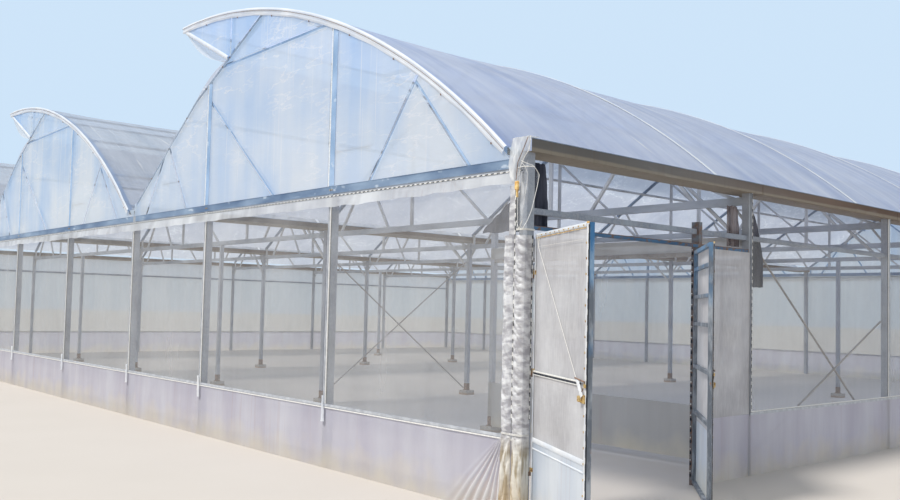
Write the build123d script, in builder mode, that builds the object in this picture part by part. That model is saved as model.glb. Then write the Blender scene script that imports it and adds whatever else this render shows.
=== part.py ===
from build123d import *
import os
from math import atan2, cos, degrees, hypot, radians, sin, sqrt

os.makedirs("parts", exist_ok=True)

# A multi-span film greenhouse with arched saw-tooth roofs, open vents under the roof
# noses, insect-net walls over film skirts, and a double-leaf door in the first side bay.
# The origin is the foot of the near corner post. Spans run to -X, bays run to +Y.

# Overall layout
span_width = 9600
span_count = 3
bay_length = 4000
bay_count = 6

# Posts and footings
post_along = 80
post_across = 100
gable_post_offsets = (3370, 6800)
mid_post_offset = 4600
mid_post_step_count = 3
footing_side = 250
footing_height = 100

# Frame members
chord_top = 3500
chord_depth = 100
member_width = 60
arch_depth = 60
arch_clearance = 14
crest_height = 6475
crest_setback = 1900
nose_past_crest = 70
rafter_depth = 50
rafter_clearance = 32
rafter_knee_setback = 2330
rafter_knee_bulge = 205
rafter_apex_setback = 4450
brace_depth = 40
upper_post_width = 60
vent_overhang = 1520
vent_net_lift = 6

# Feet and nodes of the sloping braces, across the span
arch_brace_feet = (750, 2590)
arch_brace_node = 1620
arch_brace_meet_drop = 130
rafter_brace_feet = (510, 2130)
rafter_brace_node = 1360
brace_node_spread = 60
brace_foot_drop = 60
middle_brace_foot = 4730
middle_brace_drop = 270
collar_setback = 3180
knee_brace_foot = 2830
knee_brace_reach = 2480
eave_strut_foot = 3400
eave_strut_reach = 1100

# Gutters
gutter_seat = 3544
gutter_fascia_height = 129
gutter_lip_height = 71
gutter_outer_reach = 100
gutter_inner_reach = 240
gutter_sheet = 3
gutter_lip_fold = 12

# Purlins and side girts
purlin_side = 40
purlin_offsets = (450, 1300, 2680, 4900)
slope_purlin_setback = 2000
girt_top = 3006
girt_height = 60
girt_width = 50

# Films, nets and lock strips
sheet = 3
seat_gap = 0.3
skirt_height = 770
lap_gap = 1
sheet_joint = 10
film_tuck = 8
vent_sag = 140
strip_width = 40
strip_thickness = 14
rail_height = 30
valance_drop = 150
chord_strip_drop = 120

# Door
door_opening_end = 2860
jamb_width = 70
jamb_top = 3090
header_top = 2830
header_height = 40
leaf_top = 2745
leaf_foot = 35
leaf_tube = 40
leaf_mid_rail = 1400
leaf_meeting_gap = 10
leaf_edge_gap = 6
hinge_clearance = 8
hinge_pin_radius = 5
hinge_barrel_radius = 9
hinge_bore_gap = 0.1
hinge_strap = 30
hinge_heights = (450, 1400, 2350)
hinge_knuckle = 40
left_leaf_open = 118
right_leaf_open = 40
right_leaf_rails = (875, 1890, 2200, 2520)
latch_height = 1330
latch_length = 120
latch_plate = 6

# Partition across the first span
partition_skirt = 810
partition_rail_top = 2820
partition_film_top = 3000

# Corner wrap and bundled shade cloth
wrap_bottom = 60
wrap_top = 2720
wrap_side = 270
wrap_depth = 60
bundle_top = 3480
bundle_depth = 60
corner_bundle_width = 280
second_bundle_width = 380
inner_bundle_width = 300
bundle_clearance = 15
film_bundle_side = 150
film_bundle_depth = 90
second_bundle_heights = (2350, 3330)
inner_bundle_heights = (2850, 3380)
drape_width = 660
drape_depth = 30
drape_heights = (2770, 3300)
drape_hem = 40
drape_hold = 10

# Crossed wind braces
wind_brace_side = 20
wind_brace_inset = 35
wind_brace_foot = 150
wind_brace_head = 3100
low_brace_head = 1950

# Derived places
building_width = span_width * span_count
building_length = bay_length * bay_count
span_starts = [-i * span_width for i in range(span_count)]
valley_lines = [-i * span_width for i in range(span_count + 1)]
frame_lines = [k * bay_length for k in range(bay_count + 1)]
inner_frames = frame_lines[1:-1]
gable_shift = (post_across - member_width) / 2
truss_lines = [-gable_shift] + inner_frames + [building_length + gable_shift]
truss_places = [(x, y, 0) for x in span_starts for y in truss_lines]
chord_bottom = chord_top - chord_depth
crest_offset = span_width - crest_setback
nose_reach = crest_offset + nose_past_crest
vent_foot_offset = nose_reach - vent_overhang
arch_rise = crest_height - (gutter_seat + gutter_lip_height + arch_clearance)
arch_run = crest_offset - gutter_inner_reach
arch_radius = (arch_rise**2 + arch_run**2) / (2 * arch_rise)
arch_centre = (-crest_offset, crest_height - arch_radius)
arch_inner = arch_radius - arch_depth
post_face = post_across / 2
film_inner = post_face + seat_gap
film_outer = film_inner + sheet
strip_outer = film_outer + seat_gap + strip_thickness


def arch_height(x, radius):
    """Height of the roof circle of a given radius over a point across the span."""
    return arch_centre[1] + sqrt(radius**2 - (x - arch_centre[0]) ** 2)


def line_height(start, end, x):
    """Height of the line through two points over a point across the span."""
    return start[1] + (x - start[0]) * (end[1] - start[1]) / (end[0] - start[0])


# The rafter runs from the valley gutter to the arch, with a slight knee on the way
rafter_foot = (
    gutter_outer_reach - span_width,
    gutter_seat + gutter_fascia_height + rafter_clearance,
)
rafter_apex = (
    rafter_apex_setback - span_width,
    arch_height(rafter_apex_setback - span_width, arch_radius),
)
rafter_knee_x = rafter_knee_setback - span_width
rafter_knee = (
    rafter_knee_x,
    line_height(rafter_foot, rafter_apex, rafter_knee_x) + rafter_knee_bulge,
)


def bar_outline(start, end, depth):
    """Corners of a straight bar between two points of the frame's plane."""
    run, rise = end[0] - start[0], end[1] - start[1]
    length = hypot(run, rise)
    across = (-rise / length * depth / 2, run / length * depth / 2)
    return [
        (start[0] + across[0], start[1] + across[1]),
        (start[0] - across[0], start[1] - across[1]),
        (end[0] - across[0], end[1] - across[1]),
        (end[0] + across[0], end[1] + across[1]),
    ]


def stopped_beside(start, foot, head, meet_z, depth):
    """Where a square-cut bar from start ends, just clear of the bar from foot to head."""
    share = (meet_z - foot[1]) / (head[1] - foot[1])
    meet = (foot[0] + share * (head[0] - foot[0]), meet_z)
    own = atan2(start[1] - meet[1], start[0] - meet[0])
    between = own - atan2(head[1] - foot[1], head[0] - foot[0])
    clear = (depth / 2 * (1 + abs(cos(between))) + seat_gap) / abs(sin(between))
    return (meet[0] + clear * cos(own), meet[1] + clear * sin(own))


def rafter_line(rise):
    """The rafter's three points, moved square to it by a given rise, with a mitred knee."""
    points = [rafter_foot, rafter_knee, rafter_apex]
    angles = [atan2(q[1] - p[1], q[0] - p[0]) for p, q in zip(points, points[1:])]
    half_turn = (angles[0] - angles[1]) / 2
    knee_angle = (angles[0] + angles[1]) / 2
    turns = [(angles[0], rise), (knee_angle, rise / cos(half_turn)), (angles[1], rise)]
    return [(p[0] - sin(a) * r, p[1] + cos(a) * r) for p, (a, r) in zip(points, turns)]


def rafter_height(x, rise):
    """Height of the rafter's line, moved by a given rise, over a point across the span."""
    foot, knee, apex = rafter_line(rise)
    return line_height(foot, knee, x) if x < knee[0] else line_height(knee, apex, x)


def upright(x, y, size_x, size_y, bottom, top):
    """A box between two heights, centred on a point of the plan."""
    with Locations((x, y, bottom)):
        Box(size_x, size_y, top - bottom, align=(Align.CENTER, Align.CENTER, Align.MIN))


def wall_box(x_range, y_range, z_range):
    """A box given by its lowest and highest place along each axis."""
    upright(
        sum(x_range) / 2,
        sum(y_range) / 2,
        x_range[1] - x_range[0],
        y_range[1] - y_range[0],
        z_range[0],
        z_range[1],
    )


# Posts of the two gables, between the corner and valley posts
with BuildPart() as gable_posts:
    for y in (0, building_length):
        for x in span_starts:
            for offset_x in gable_post_offsets:
                upright(x - offset_x, y, post_along, post_across, 0, chord_bottom)
gable_posts.part.label = "gable_posts"
export_step(gable_posts.part, "parts/gable_posts.step")

# Corner and valley posts in the gables, which carry the gutters' ends
with BuildPart() as gutter_end_posts:
    for y in (0, building_length):
        for x in valley_lines:
            upright(x, y, post_across, post_across, 0, gutter_seat)
gutter_end_posts.part.label = "gutter_end_posts"
export_step(gutter_end_posts.part, "parts/gutter_end_posts.step")

# Posts of the two side walls, between the corners
with BuildPart() as side_posts:
    for x in (0, -building_width):
        for y in inner_frames:
            upright(x, y, post_across, post_along, 0, gutter_seat)
side_posts.part.label = "side_posts"
export_step(side_posts.part, "parts/side_posts.step")

# Inner posts under the valley gutters, on their footings
with BuildPart() as valley_posts:
    for x in valley_lines[1:-1]:
        for y in inner_frames:
            upright(x, y, post_across, post_along, footing_height, gutter_seat)
valley_posts.part.label = "valley_posts"
export_step(valley_posts.part, "parts/valley_posts.step")

# Posts in the middle of the spans, under the chords of a few frames
mid_post_lines = inner_frames[::mid_post_step_count]
mid_post_places = [(x - mid_post_offset, y) for x in span_starts for y in mid_post_lines]
with BuildPart() as mid_posts:
    for x, y in mid_post_places:
        upright(x, y, post_along, post_along, footing_height, chord_bottom)
mid_posts.part.label = "mid_posts"
export_step(mid_posts.part, "parts/mid_posts.step")

# Concrete footings of the inner posts
with BuildPart() as footings:
    for x in valley_lines[1:-1]:
        for y in inner_frames:
            upright(x, y, footing_side, footing_side, 0, footing_height)
    for x, y in mid_post_places:
        upright(x, y, footing_side, footing_side, 0, footing_height)
footings.part.label = "footings"
export_step(footings.part, "parts/footings.step")

# Bottom chords, between the posts that carry the gutters
with BuildPart() as bottom_chords:
    for x in span_starts:
        for y in truss_lines:
            wall_box(
                (x - span_width + post_face, x - post_face),
                (y - member_width / 2, y + member_width / 2),
                (chord_bottom, chord_top),
            )
bottom_chords.part.label = "bottom_chords"
export_step(bottom_chords.part, "parts/bottom_chords.step")

# Arches, one circle from the gutter over the crest to the nose
arch_foot = -gutter_inner_reach - seat_gap
with BuildPart() as one_arch:
    with BuildSketch(Plane.XZ):
        with Locations(arch_centre):
            Circle(arch_radius)
            Circle(arch_inner, mode=Mode.SUBTRACT)
        with Locations(((arch_foot - nose_reach) / 2, (crest_height + chord_top) / 2)):
            Rectangle(nose_reach + arch_foot, crest_height - chord_top, mode=Mode.INTERSECT)
    extrude(amount=member_width / 2, both=True)

with BuildPart() as arches:
    with Locations(*truss_places):
        add(one_arch.part)
arches.part.label = "arches"
export_step(arches.part, "parts/arches.step")

# Rafters of the steep side, from the gutter up to the arch
with BuildPart() as one_rafter:
    with BuildSketch(Plane.XZ):
        Polygon(*rafter_line(-rafter_depth / 2), *rafter_line(rafter_depth / 2)[::-1], align=None)
        with Locations(arch_centre):
            Circle(arch_inner, mode=Mode.INTERSECT)
    extrude(amount=member_width / 2, both=True)

with BuildPart() as rafters:
    with Locations(*truss_places):
        add(one_rafter.part)
rafters.part.label = "rafters"
export_step(rafters.part, "parts/rafters.step")

# Upright struts over the chord, and a short one under the rafter's foot
rafter_shoe_x = rafter_foot[0] + rafter_depth
with BuildPart() as one_upright_set:
    with BuildSketch(Plane.XZ):
        for offset_x in gable_post_offsets:
            Polygon(
                *bar_outline((-offset_x, chord_top), (-offset_x, crest_height), upper_post_width),
                align=None,
            )
        Polygon(
            *bar_outline((rafter_shoe_x, chord_top), (rafter_shoe_x, crest_height), brace_depth),
            align=None,
        )
        with Locations(arch_centre):
            Circle(arch_inner, mode=Mode.INTERSECT)
        Polygon(
            *rafter_line(-rafter_depth / 2),
            (rafter_apex[0], crest_height),
            (rafter_foot[0], crest_height),
            align=None,
            mode=Mode.SUBTRACT,
        )
    extrude(amount=brace_depth / 2, both=True)

with BuildPart() as upright_struts:
    with Locations(*truss_places):
        add(one_upright_set.part)
upright_struts.part.label = "upright_struts"
export_step(upright_struts.part, "parts/upright_struts.step")

# Sloping braces between the chord, the rafter and the arch
post_a, post_b = gable_post_offsets
strut_face = upper_post_width / 2 + seat_gap
brace_foot_z = chord_top - brace_foot_drop
arch_node_z = arch_height(-arch_brace_node, arch_radius)
rafter_node_x = rafter_brace_node - span_width
rafter_node_z = rafter_height(rafter_node_x, 0)
collar_x = collar_setback - span_width
braces = []
short_foot, long_foot = ((-foot, brace_foot_z) for foot in arch_brace_feet)
long_head = (-arch_brace_node, arch_node_z)
braces.append((long_foot, long_head))
short_head = stopped_beside(
    short_foot, long_foot, long_head, arch_node_z - arch_brace_meet_drop, brace_depth
)
braces.append((short_foot, short_head))
for foot, spread in zip(rafter_brace_feet, (-brace_node_spread, brace_node_spread)):
    braces.append(((foot - span_width, brace_foot_z), (rafter_node_x + spread, rafter_node_z)))
middle_node = (-post_b, rafter_height(-post_b, 0) - middle_brace_drop)
braces.append(((-middle_brace_foot, brace_foot_z), middle_node))
collar_end = (-post_a, arch_height(-post_a, arch_radius))
braces.append(((collar_x, rafter_height(collar_x, 0)), collar_end))
with BuildPart() as one_brace_set:
    with BuildSketch(Plane.XZ):
        for start, end in braces:
            Polygon(*bar_outline(start, end, brace_depth), align=None)
        with Locations(arch_centre):
            Circle(arch_inner, mode=Mode.INTERSECT)
        Polygon(
            *rafter_line(-rafter_depth / 2),
            (rafter_apex[0], crest_height),
            (rafter_foot[0], crest_height),
            align=None,
            mode=Mode.SUBTRACT,
        )
        with Locations((-span_width / 2, chord_top / 2)):
            Rectangle(span_width, chord_top, mode=Mode.SUBTRACT)
        for offset_x in gable_post_offsets:
            with Locations((-offset_x, crest_height / 2)):
                Rectangle(2 * strut_face, crest_height, mode=Mode.SUBTRACT)
    extrude(amount=brace_depth / 2, both=True)

with BuildPart() as truss_braces:
    with Locations(*truss_places):
        add(one_brace_set.part)
truss_braces.part.label = "truss_braces"
export_step(truss_braces.part, "parts/truss_braces.step")

# Nose braces from the nose to the rafter, and short upright struts beside them
nose_start = (-nose_reach + member_width, arch_height(-nose_reach, arch_inner) - member_width / 2)
vent_foot = (-vent_foot_offset, rafter_height(-vent_foot_offset, rafter_depth / 2))
nose_strut_x = vent_foot[0] + 2 * brace_depth
with BuildPart() as one_nose_set:
    with BuildSketch(Plane.XZ):
        Polygon(*bar_outline(nose_start, vent_foot, brace_depth), align=None)
        Polygon(
            *bar_outline((nose_strut_x, chord_top), (nose_strut_x, crest_height), brace_depth),
            align=None,
        )
        with Locations(arch_centre):
            Circle(arch_inner, mode=Mode.INTERSECT)
        Polygon(
            *rafter_line(rafter_depth / 2),
            (rafter_apex[0], chord_bottom),
            (rafter_foot[0], chord_bottom),
            align=None,
            mode=Mode.SUBTRACT,
        )
    extrude(amount=brace_depth / 2, both=True)

with BuildPart() as nose_frames:
    with Locations(*truss_places):
        add(one_nose_set.part)
nose_frames.part.label = "nose_frames"
export_step(nose_frames.part, "parts/nose_frames.step")

# Purlins under the arches, one under the rafters and one at the nose, over the whole length
purlin_start = -post_face
purlin_length = building_length + 2 * post_face
purlin_drop = purlin_side / 2 + seat_gap
purlin_spots = []
for offset_x in purlin_offsets:
    tilt = atan2(crest_offset - offset_x, arch_height(-offset_x, arch_inner) - arch_centre[1])
    reach = arch_inner - purlin_drop
    spot = (arch_centre[0] + reach * sin(tilt), arch_centre[1] + reach * cos(tilt))
    purlin_spots.append((spot, -degrees(tilt)))
slope_tilt = atan2(rafter_knee[1] - rafter_foot[1], rafter_knee[0] - rafter_foot[0])
slope_drop = rafter_depth / 2 + purlin_drop
slope_purlin_x = slope_purlin_setback - span_width
slope_spot = (
    slope_purlin_x + slope_drop * sin(slope_tilt),
    rafter_height(slope_purlin_x, 0) - slope_drop * cos(slope_tilt),
)
purlin_spots.append((slope_spot, degrees(slope_tilt)))
nose_spot = (
    -nose_reach - purlin_drop,
    arch_height(-nose_reach - 2 * purlin_drop, arch_radius) - purlin_side / 2,
)
purlin_spots.append((nose_spot, 0))

with BuildPart() as one_purlin_set:
    with BuildSketch(Plane.XZ.offset(-purlin_start)):
        for spot, turn in purlin_spots:
            with Locations(Location((spot[0], spot[1], 0), (0, 0, turn))):
                Rectangle(purlin_side, purlin_side)
    extrude(amount=-purlin_length)

with BuildPart() as purlins:
    with Locations(*[(x, 0, 0) for x in span_starts]):
        add(one_purlin_set.part)
purlins.part.label = "purlins"
export_step(purlins.part, "parts/purlins.step")

# Box gutters on the corner, side and valley posts
with BuildPart() as one_gutter:
    with BuildSketch(Plane.XZ.offset(post_face)):
        with Locations((-gutter_inner_reach, gutter_seat)):
            Rectangle(
                gutter_inner_reach + gutter_outer_reach,
                gutter_fascia_height,
                align=(Align.MIN, Align.MIN),
            )
        with Locations((-gutter_inner_reach + gutter_sheet, gutter_seat + gutter_sheet)):
            Rectangle(
                gutter_inner_reach + gutter_outer_reach - 2 * gutter_sheet,
                gutter_fascia_height,
                align=(Align.MIN, Align.MIN),
                mode=Mode.SUBTRACT,
            )
        with Locations((-gutter_inner_reach, gutter_seat + gutter_lip_height)):
            Rectangle(
                gutter_sheet,
                gutter_fascia_height,
                align=(Align.MIN, Align.MIN),
                mode=Mode.SUBTRACT,
            )
        with Locations((gutter_outer_reach, gutter_seat + gutter_fascia_height)):
            Rectangle(gutter_lip_fold, gutter_sheet, align=(Align.MAX, Align.MAX))
    extrude(amount=-purlin_length)

with BuildPart() as gutters:
    with Locations(*[(x, 0, 0) for x in valley_lines]):
        add(one_gutter.part)
gutters.part.label = "gutters"
export_step(gutters.part, "parts/gutters.step")

# Girts of the side walls, between the posts
with BuildPart() as side_girts:
    for x in (0, -building_width):
        for y, next_y in zip(frame_lines, frame_lines[1:]):
            start = y + (post_across if y == 0 else post_along) / 2
            end = next_y - (post_across if next_y == building_length else post_along) / 2
            runs = [(start, end)]
            if x == 0 and y == 0:
                runs = [(start, door_opening_end), (door_opening_end + jamb_width, end)]
            for run in runs:
                wall_box(
                    (x - girt_width / 2, x + girt_width / 2),
                    run,
                    (girt_top - girt_height, girt_top),
                )
side_girts.part.label = "side_girts"
export_step(side_girts.part, "parts/side_girts.step")

# Roof films on the arches, one for each span
with BuildPart() as one_roof_film:
    with BuildSketch(Plane.XZ.offset(strip_outer)):
        with Locations(arch_centre):
            Circle(arch_radius + seat_gap + sheet)
            Circle(arch_radius + seat_gap, mode=Mode.SUBTRACT)
        film_start = -gutter_inner_reach + film_tuck
        film_end = nose_spot[0] - purlin_side / 2
        with Locations(((film_start + film_end) / 2, crest_height)):
            Rectangle(film_start - film_end, 2 * (crest_height - chord_top), mode=Mode.INTERSECT)
    extrude(amount=-(building_length + 2 * strip_outer))

for i, x in enumerate(span_starts):
    with BuildPart() as roof_film:
        with Locations((x, 0, 0)):
            add(one_roof_film.part)
    name = f"span_{i + 1}_roof_film"
    roof_film.part.label = name
    export_step(roof_film.part, f"parts/{name}.step")

# Slope films on the rafters, from the gutter up to the vent
slope_low = rafter_depth / 2 + seat_gap
slope_high = slope_low + sheet
with BuildPart() as one_slope_film:
    with BuildSketch(Plane.XZ.offset(film_outer)):
        Polygon(*rafter_line(slope_low), *rafter_line(slope_high)[::-1], align=None)
        with Locations((vent_foot[0] - brace_depth, chord_top)):
            Rectangle(
                -rafter_foot[0] + vent_foot[0],
                crest_height - chord_top,
                align=(Align.MAX, Align.MIN),
                mode=Mode.INTERSECT,
            )
    extrude(amount=-(building_length + 2 * film_outer))

with BuildPart() as slope_films:
    with Locations(*[(x, 0, 0) for x in span_starts]):
        add(one_slope_film.part)
slope_films.part.label = "slope_films"
export_step(slope_films.part, "parts/slope_films.step")

# Vent nets, which sag below the nose braces from the nose to the slope film
vent_top = (-nose_reach - purlin_side / 2, nose_spot[1] - purlin_side / 2 - seat_gap)
vent_low_x = vent_foot[0] - 2 * brace_depth
vent_low = (vent_low_x, rafter_height(vent_low_x, slope_high + vent_net_lift))
vent_middle = (
    (vent_top[0] + vent_low[0]) / 2 - vent_sag / 2,
    (vent_top[1] + vent_low[1]) / 2 - vent_sag,
)
with BuildPart() as one_vent_net:
    with BuildSketch(Plane.XZ.offset(film_outer)):
        with BuildLine():
            ThreePointArc(vent_top, vent_middle, vent_low)
            ThreePointArc(
                (vent_top[0], vent_top[1] - sheet),
                (vent_middle[0], vent_middle[1] - sheet),
                (vent_low[0], vent_low[1] - sheet),
            )
            Line(vent_top, (vent_top[0], vent_top[1] - sheet))
            Line(vent_low, (vent_low[0], vent_low[1] - sheet))
        make_face()
    extrude(amount=-(building_length + 2 * film_outer))

with BuildPart() as vent_nets:
    with Locations(*[(x, 0, 0) for x in span_starts]):
        add(one_vent_net.part)
vent_nets.part.label = "vent_nets"
export_step(vent_nets.part, "parts/vent_nets.step")

# Gable films over the chords, from the rafter and the nose brace to the arch
with BuildPart() as one_gable_film:
    with BuildSketch(Plane.XZ.offset(film_inner)):
        Polygon(
            (-sheet_joint, chord_bottom),
            (-sheet_joint, crest_height + arch_depth),
            (-nose_reach, crest_height + arch_depth),
            (-nose_reach, arch_height(-nose_reach, arch_inner)),
            vent_foot,
            *rafter_line(rafter_depth / 2)[:2][::-1],
            (sheet_joint - span_width, rafter_foot[1]),
            (sheet_joint - span_width, chord_bottom),
            align=None,
        )
        with Locations(arch_centre):
            Circle(arch_radius, mode=Mode.INTERSECT)
        with Locations((-sheet_joint, chord_bottom)):
            Rectangle(
                gutter_inner_reach,
                gutter_seat + gutter_lip_height - chord_bottom,
                align=(Align.MAX, Align.MIN),
            )
    extrude(amount=sheet)

for name, y in (
    ("front_gable_films", 0),
    ("back_gable_films", building_length + 2 * film_inner + sheet),
):
    with BuildPart() as gable_films:
        with Locations(*[(x, y, 0) for x in span_starts]):
            add(one_gable_film.part)
    gable_films.part.label = name
    export_step(gable_films.part, f"parts/{name}.step")


# Net walls and film skirts of the gables, and valances over the chords' lock strips
valance_top = chord_top - chord_strip_drop
for side, y_sign, y_origin in (("front", -1, 0), ("back", 1, building_length)):
    sheet_y = sorted((y_origin + y_sign * film_inner, y_origin + y_sign * film_outer))
    with BuildPart() as wall_net:
        wall_box((-building_width, 0), sheet_y, (skirt_height, chord_bottom - lap_gap))
    wall_net.part.label = f"{side}_wall_net"
    export_step(wall_net.part, f"parts/{side}_wall_net.step")

    with BuildPart() as wall_skirt:
        wall_box((-building_width, 0), sheet_y, (0, skirt_height - lap_gap))
    wall_skirt.part.label = f"{side}_skirt"
    export_step(wall_skirt.part, f"parts/{side}_skirt.step")

with BuildPart() as valances:
    for y_range in (
        (-strip_outer - seat_gap - sheet, -strip_outer - seat_gap),
        (
            building_length + strip_outer + seat_gap,
            building_length + strip_outer + seat_gap + sheet,
        ),
    ):
        wall_box((-building_width, 0), y_range, (valance_top - valance_drop, valance_top))
valances.part.label = "valances"
export_step(valances.part, "parts/valances.step")

# Net walls, film skirts and film bands of the two side walls
door_bay_end = frame_lines[1]
side_net_top = girt_top - girt_height / 2
side_sheet_top = gutter_seat - lap_gap
side_walls = (
    ((film_inner, film_outer), door_bay_end),
    ((-building_width - film_outer, -building_width - film_inner), 0),
)
for name, low, high in (
    ("side_wall_nets", skirt_height, side_net_top),
    ("side_skirts", 0, skirt_height - lap_gap),
    ("side_upper_films", side_net_top + lap_gap, side_sheet_top),
):
    with BuildPart() as side_sheets:
        for x_range, y_start in side_walls:
            wall_box(x_range, (y_start, building_length), (low, high))
    side_sheets.part.label = name
    export_step(side_sheets.part, f"parts/{name}.step")

# Lock strips, along the skirt tops and the chords, and up the outer face of each post
rail_z = (skirt_height - rail_height / 2, skirt_height + rail_height / 2)
with BuildPart() as gable_lock_strips:
    for y_range in (
        (-strip_outer, -film_outer - seat_gap),
        (building_length + film_outer + seat_gap, building_length + strip_outer),
    ):
        wall_box((-building_width, 0), y_range, rail_z)
        wall_box((-building_width, 0), y_range, (valance_top - rail_height, valance_top))
        for x in span_starts:
            for offset_x in gable_post_offsets + (span_width,):
                wall_box(
                    (x - offset_x - strip_width / 2, x - offset_x + strip_width / 2),
                    y_range,
                    (rail_z[1] + lap_gap, valance_top - rail_height - lap_gap),
                )
gable_lock_strips.part.label = "gable_lock_strips"
export_step(gable_lock_strips.part, "parts/gable_lock_strips.step")

with BuildPart() as side_lock_strips:
    for x_range, y_start in (
        ((film_outer + seat_gap, strip_outer), door_bay_end),
        ((-building_width - strip_outer, -building_width - film_outer - seat_gap), 0),
    ):
        wall_box(x_range, (y_start, building_length), rail_z)
        for y in inner_frames:
            wall_box(
                x_range,
                (max(y_start, y - strip_width / 2), y + strip_width / 2),
                (rail_z[1] + lap_gap, side_sheet_top),
            )
side_lock_strips.part.label = "side_lock_strips"
export_step(side_lock_strips.part, "parts/side_lock_strips.step")

# Door frame: the rusty jamb, and the header in two lengths beside it
door_panel_start = door_opening_end + jamb_width
post_2_face = door_bay_end - post_along / 2
with BuildPart() as door_frame:
    wall_box((-post_face, post_face), (door_opening_end, door_panel_start), (0, jamb_top))
    for y_range in ((post_face, door_opening_end), (door_panel_start, post_2_face)):
        wall_box(
            (post_face - leaf_tube, post_face),
            y_range,
            (header_top - header_height, header_top),
        )
door_frame.part.label = "door_frame"
export_step(door_frame.part, "parts/door_frame.step")

# Fixed net panel and skirt between the jamb and the second side post
with BuildPart() as door_side_net:
    wall_box(
        (film_inner, film_outer),
        (door_panel_start - jamb_width / 2, door_bay_end - sheet_joint),
        (skirt_height, header_top - header_height),
    )
door_side_net.part.label = "door_side_net"
export_step(door_side_net.part, "parts/door_side_net.step")

with BuildPart() as door_side_skirt:
    wall_box(
        (film_inner, film_outer),
        (door_panel_start - jamb_width / 2, door_bay_end - sheet_joint),
        (0, skirt_height - lap_gap),
    )
door_side_skirt.part.label = "door_side_skirt"
export_step(door_side_skirt.part, "parts/door_side_skirt.step")

# Door leaves. Closed, they stand in the opening behind its outer face. Each swings
# outwards about a pin that stands just outside the post, at the leaf's edge.
pin_x = post_face + hinge_clearance
leaf_setback = 2 * hinge_clearance
left_pin = (pin_x, post_face + leaf_edge_gap)
right_pin = (pin_x, door_opening_end - leaf_edge_gap)
leaf_width = (right_pin[1] - left_pin[1] - leaf_meeting_gap) / 2
leaf_height = leaf_top - leaf_foot

for hand, side, pin, swing, extra_rails in (
    (1, "left", left_pin, left_leaf_open, ()),
    (-1, "right", right_pin, right_leaf_open, right_leaf_rails),
):
    along = (sin(radians(swing)), hand * cos(radians(swing)), 0)
    leaf_plane = Plane(origin=(*pin, 0), x_dir=along, z_dir=(along[1], -along[0], 0))

    # The leaf's welded tube frame, with its rails
    with BuildPart() as leaf_frame:
        with BuildSketch(leaf_plane.offset(-hand * leaf_setback)):
            with Locations((0, leaf_foot)):
                Rectangle(leaf_width, leaf_height, align=(Align.MIN, Align.MIN))
            with Locations((leaf_tube, leaf_foot + leaf_tube)):
                Rectangle(
                    leaf_width - 2 * leaf_tube,
                    leaf_height - 2 * leaf_tube,
                    align=(Align.MIN, Align.MIN),
                    mode=Mode.SUBTRACT,
                )
            for height in (leaf_mid_rail, *extra_rails):
                with Locations((leaf_tube, height)):
                    Rectangle(
                        leaf_width - 2 * leaf_tube,
                        leaf_tube,
                        align=(Align.MIN, Align.CENTER),
                    )
        extrude(amount=-hand * leaf_tube)
    leaf_frame.part.label = f"{side}_leaf_frame"
    export_step(leaf_frame.part, f"parts/{side}_leaf_frame.step")

    # Net over the leaf's outer face, and film over its foot
    for kind, low, high in (
        ("net", skirt_height, leaf_top),
        ("film", leaf_foot, skirt_height - lap_gap),
    ):
        with BuildPart() as leaf_sheet:
            with BuildSketch(leaf_plane.offset(-hand * (leaf_setback - seat_gap))):
                with Locations((leaf_width / 2, (low + high) / 2)):
                    Rectangle(leaf_width - sheet_joint, high - low)
            extrude(amount=hand * sheet)
        leaf_sheet.part.label = f"{side}_leaf_{kind}"
        export_step(leaf_sheet.part, f"parts/{side}_leaf_{kind}.step")

    # Latch plate and bolt at the free edge
    latch_face = leaf_setback - seat_gap - sheet - seat_gap
    with BuildPart() as leaf_latch:
        with BuildSketch(leaf_plane.offset(-hand * latch_face)):
            with Locations((leaf_width - leaf_tube / 2 - sheet_joint, latch_height)):
                Rectangle(leaf_tube - sheet_joint, latch_length)
        extrude(amount=hand * latch_plate)
    leaf_latch.part.label = f"{side}_leaf_latch"
    export_step(leaf_latch.part, f"parts/{side}_leaf_latch.step")

    # Hinge halves on the leaf: a barrel over each pin and a strap to the stile
    with BuildPart() as leaf_hinges:
        for height in hinge_heights:
            with BuildSketch(Plane.XY.offset(height + seat_gap)):
                with Locations(pin):
                    Circle(hinge_barrel_radius)
                with Locations(
                    Location((*pin, 0), (0, 0, degrees(atan2(along[1], along[0]))))
                ):
                    with Locations((hinge_strap / 2, hand * latch_face / 2)):
                        Rectangle(hinge_strap, latch_face)
                with Locations(pin):
                    Circle(hinge_pin_radius + hinge_bore_gap, mode=Mode.SUBTRACT)
            extrude(amount=hinge_knuckle)
    leaf_hinges.part.label = f"{side}_leaf_hinges"
    export_step(leaf_hinges.part, f"parts/{side}_leaf_hinges.step")

# Hinge halves on the posts: a pin on a barrel, welded to the post's outer face
with BuildPart() as hinge_pintles:
    for hand, pin in ((1, left_pin), (-1, right_pin)):
        for height in hinge_heights:
            with Locations((*pin, height - hinge_knuckle / 2)):
                Cylinder(hinge_barrel_radius, hinge_knuckle)
            with Locations((post_face, pin[1], height - hinge_knuckle / 2)):
                Box(
                    hinge_clearance,
                    hinge_strap,
                    hinge_knuckle,
                    align=(Align.MIN, Align.MAX if hand == 1 else Align.MIN, Align.CENTER),
                )
            with Locations((*pin, height + hinge_knuckle / 2)):
                Cylinder(hinge_pin_radius, hinge_knuckle)
hinge_pintles.part.label = "hinge_pintles"
export_step(hinge_pintles.part, "parts/hinge_pintles.step")

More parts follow.
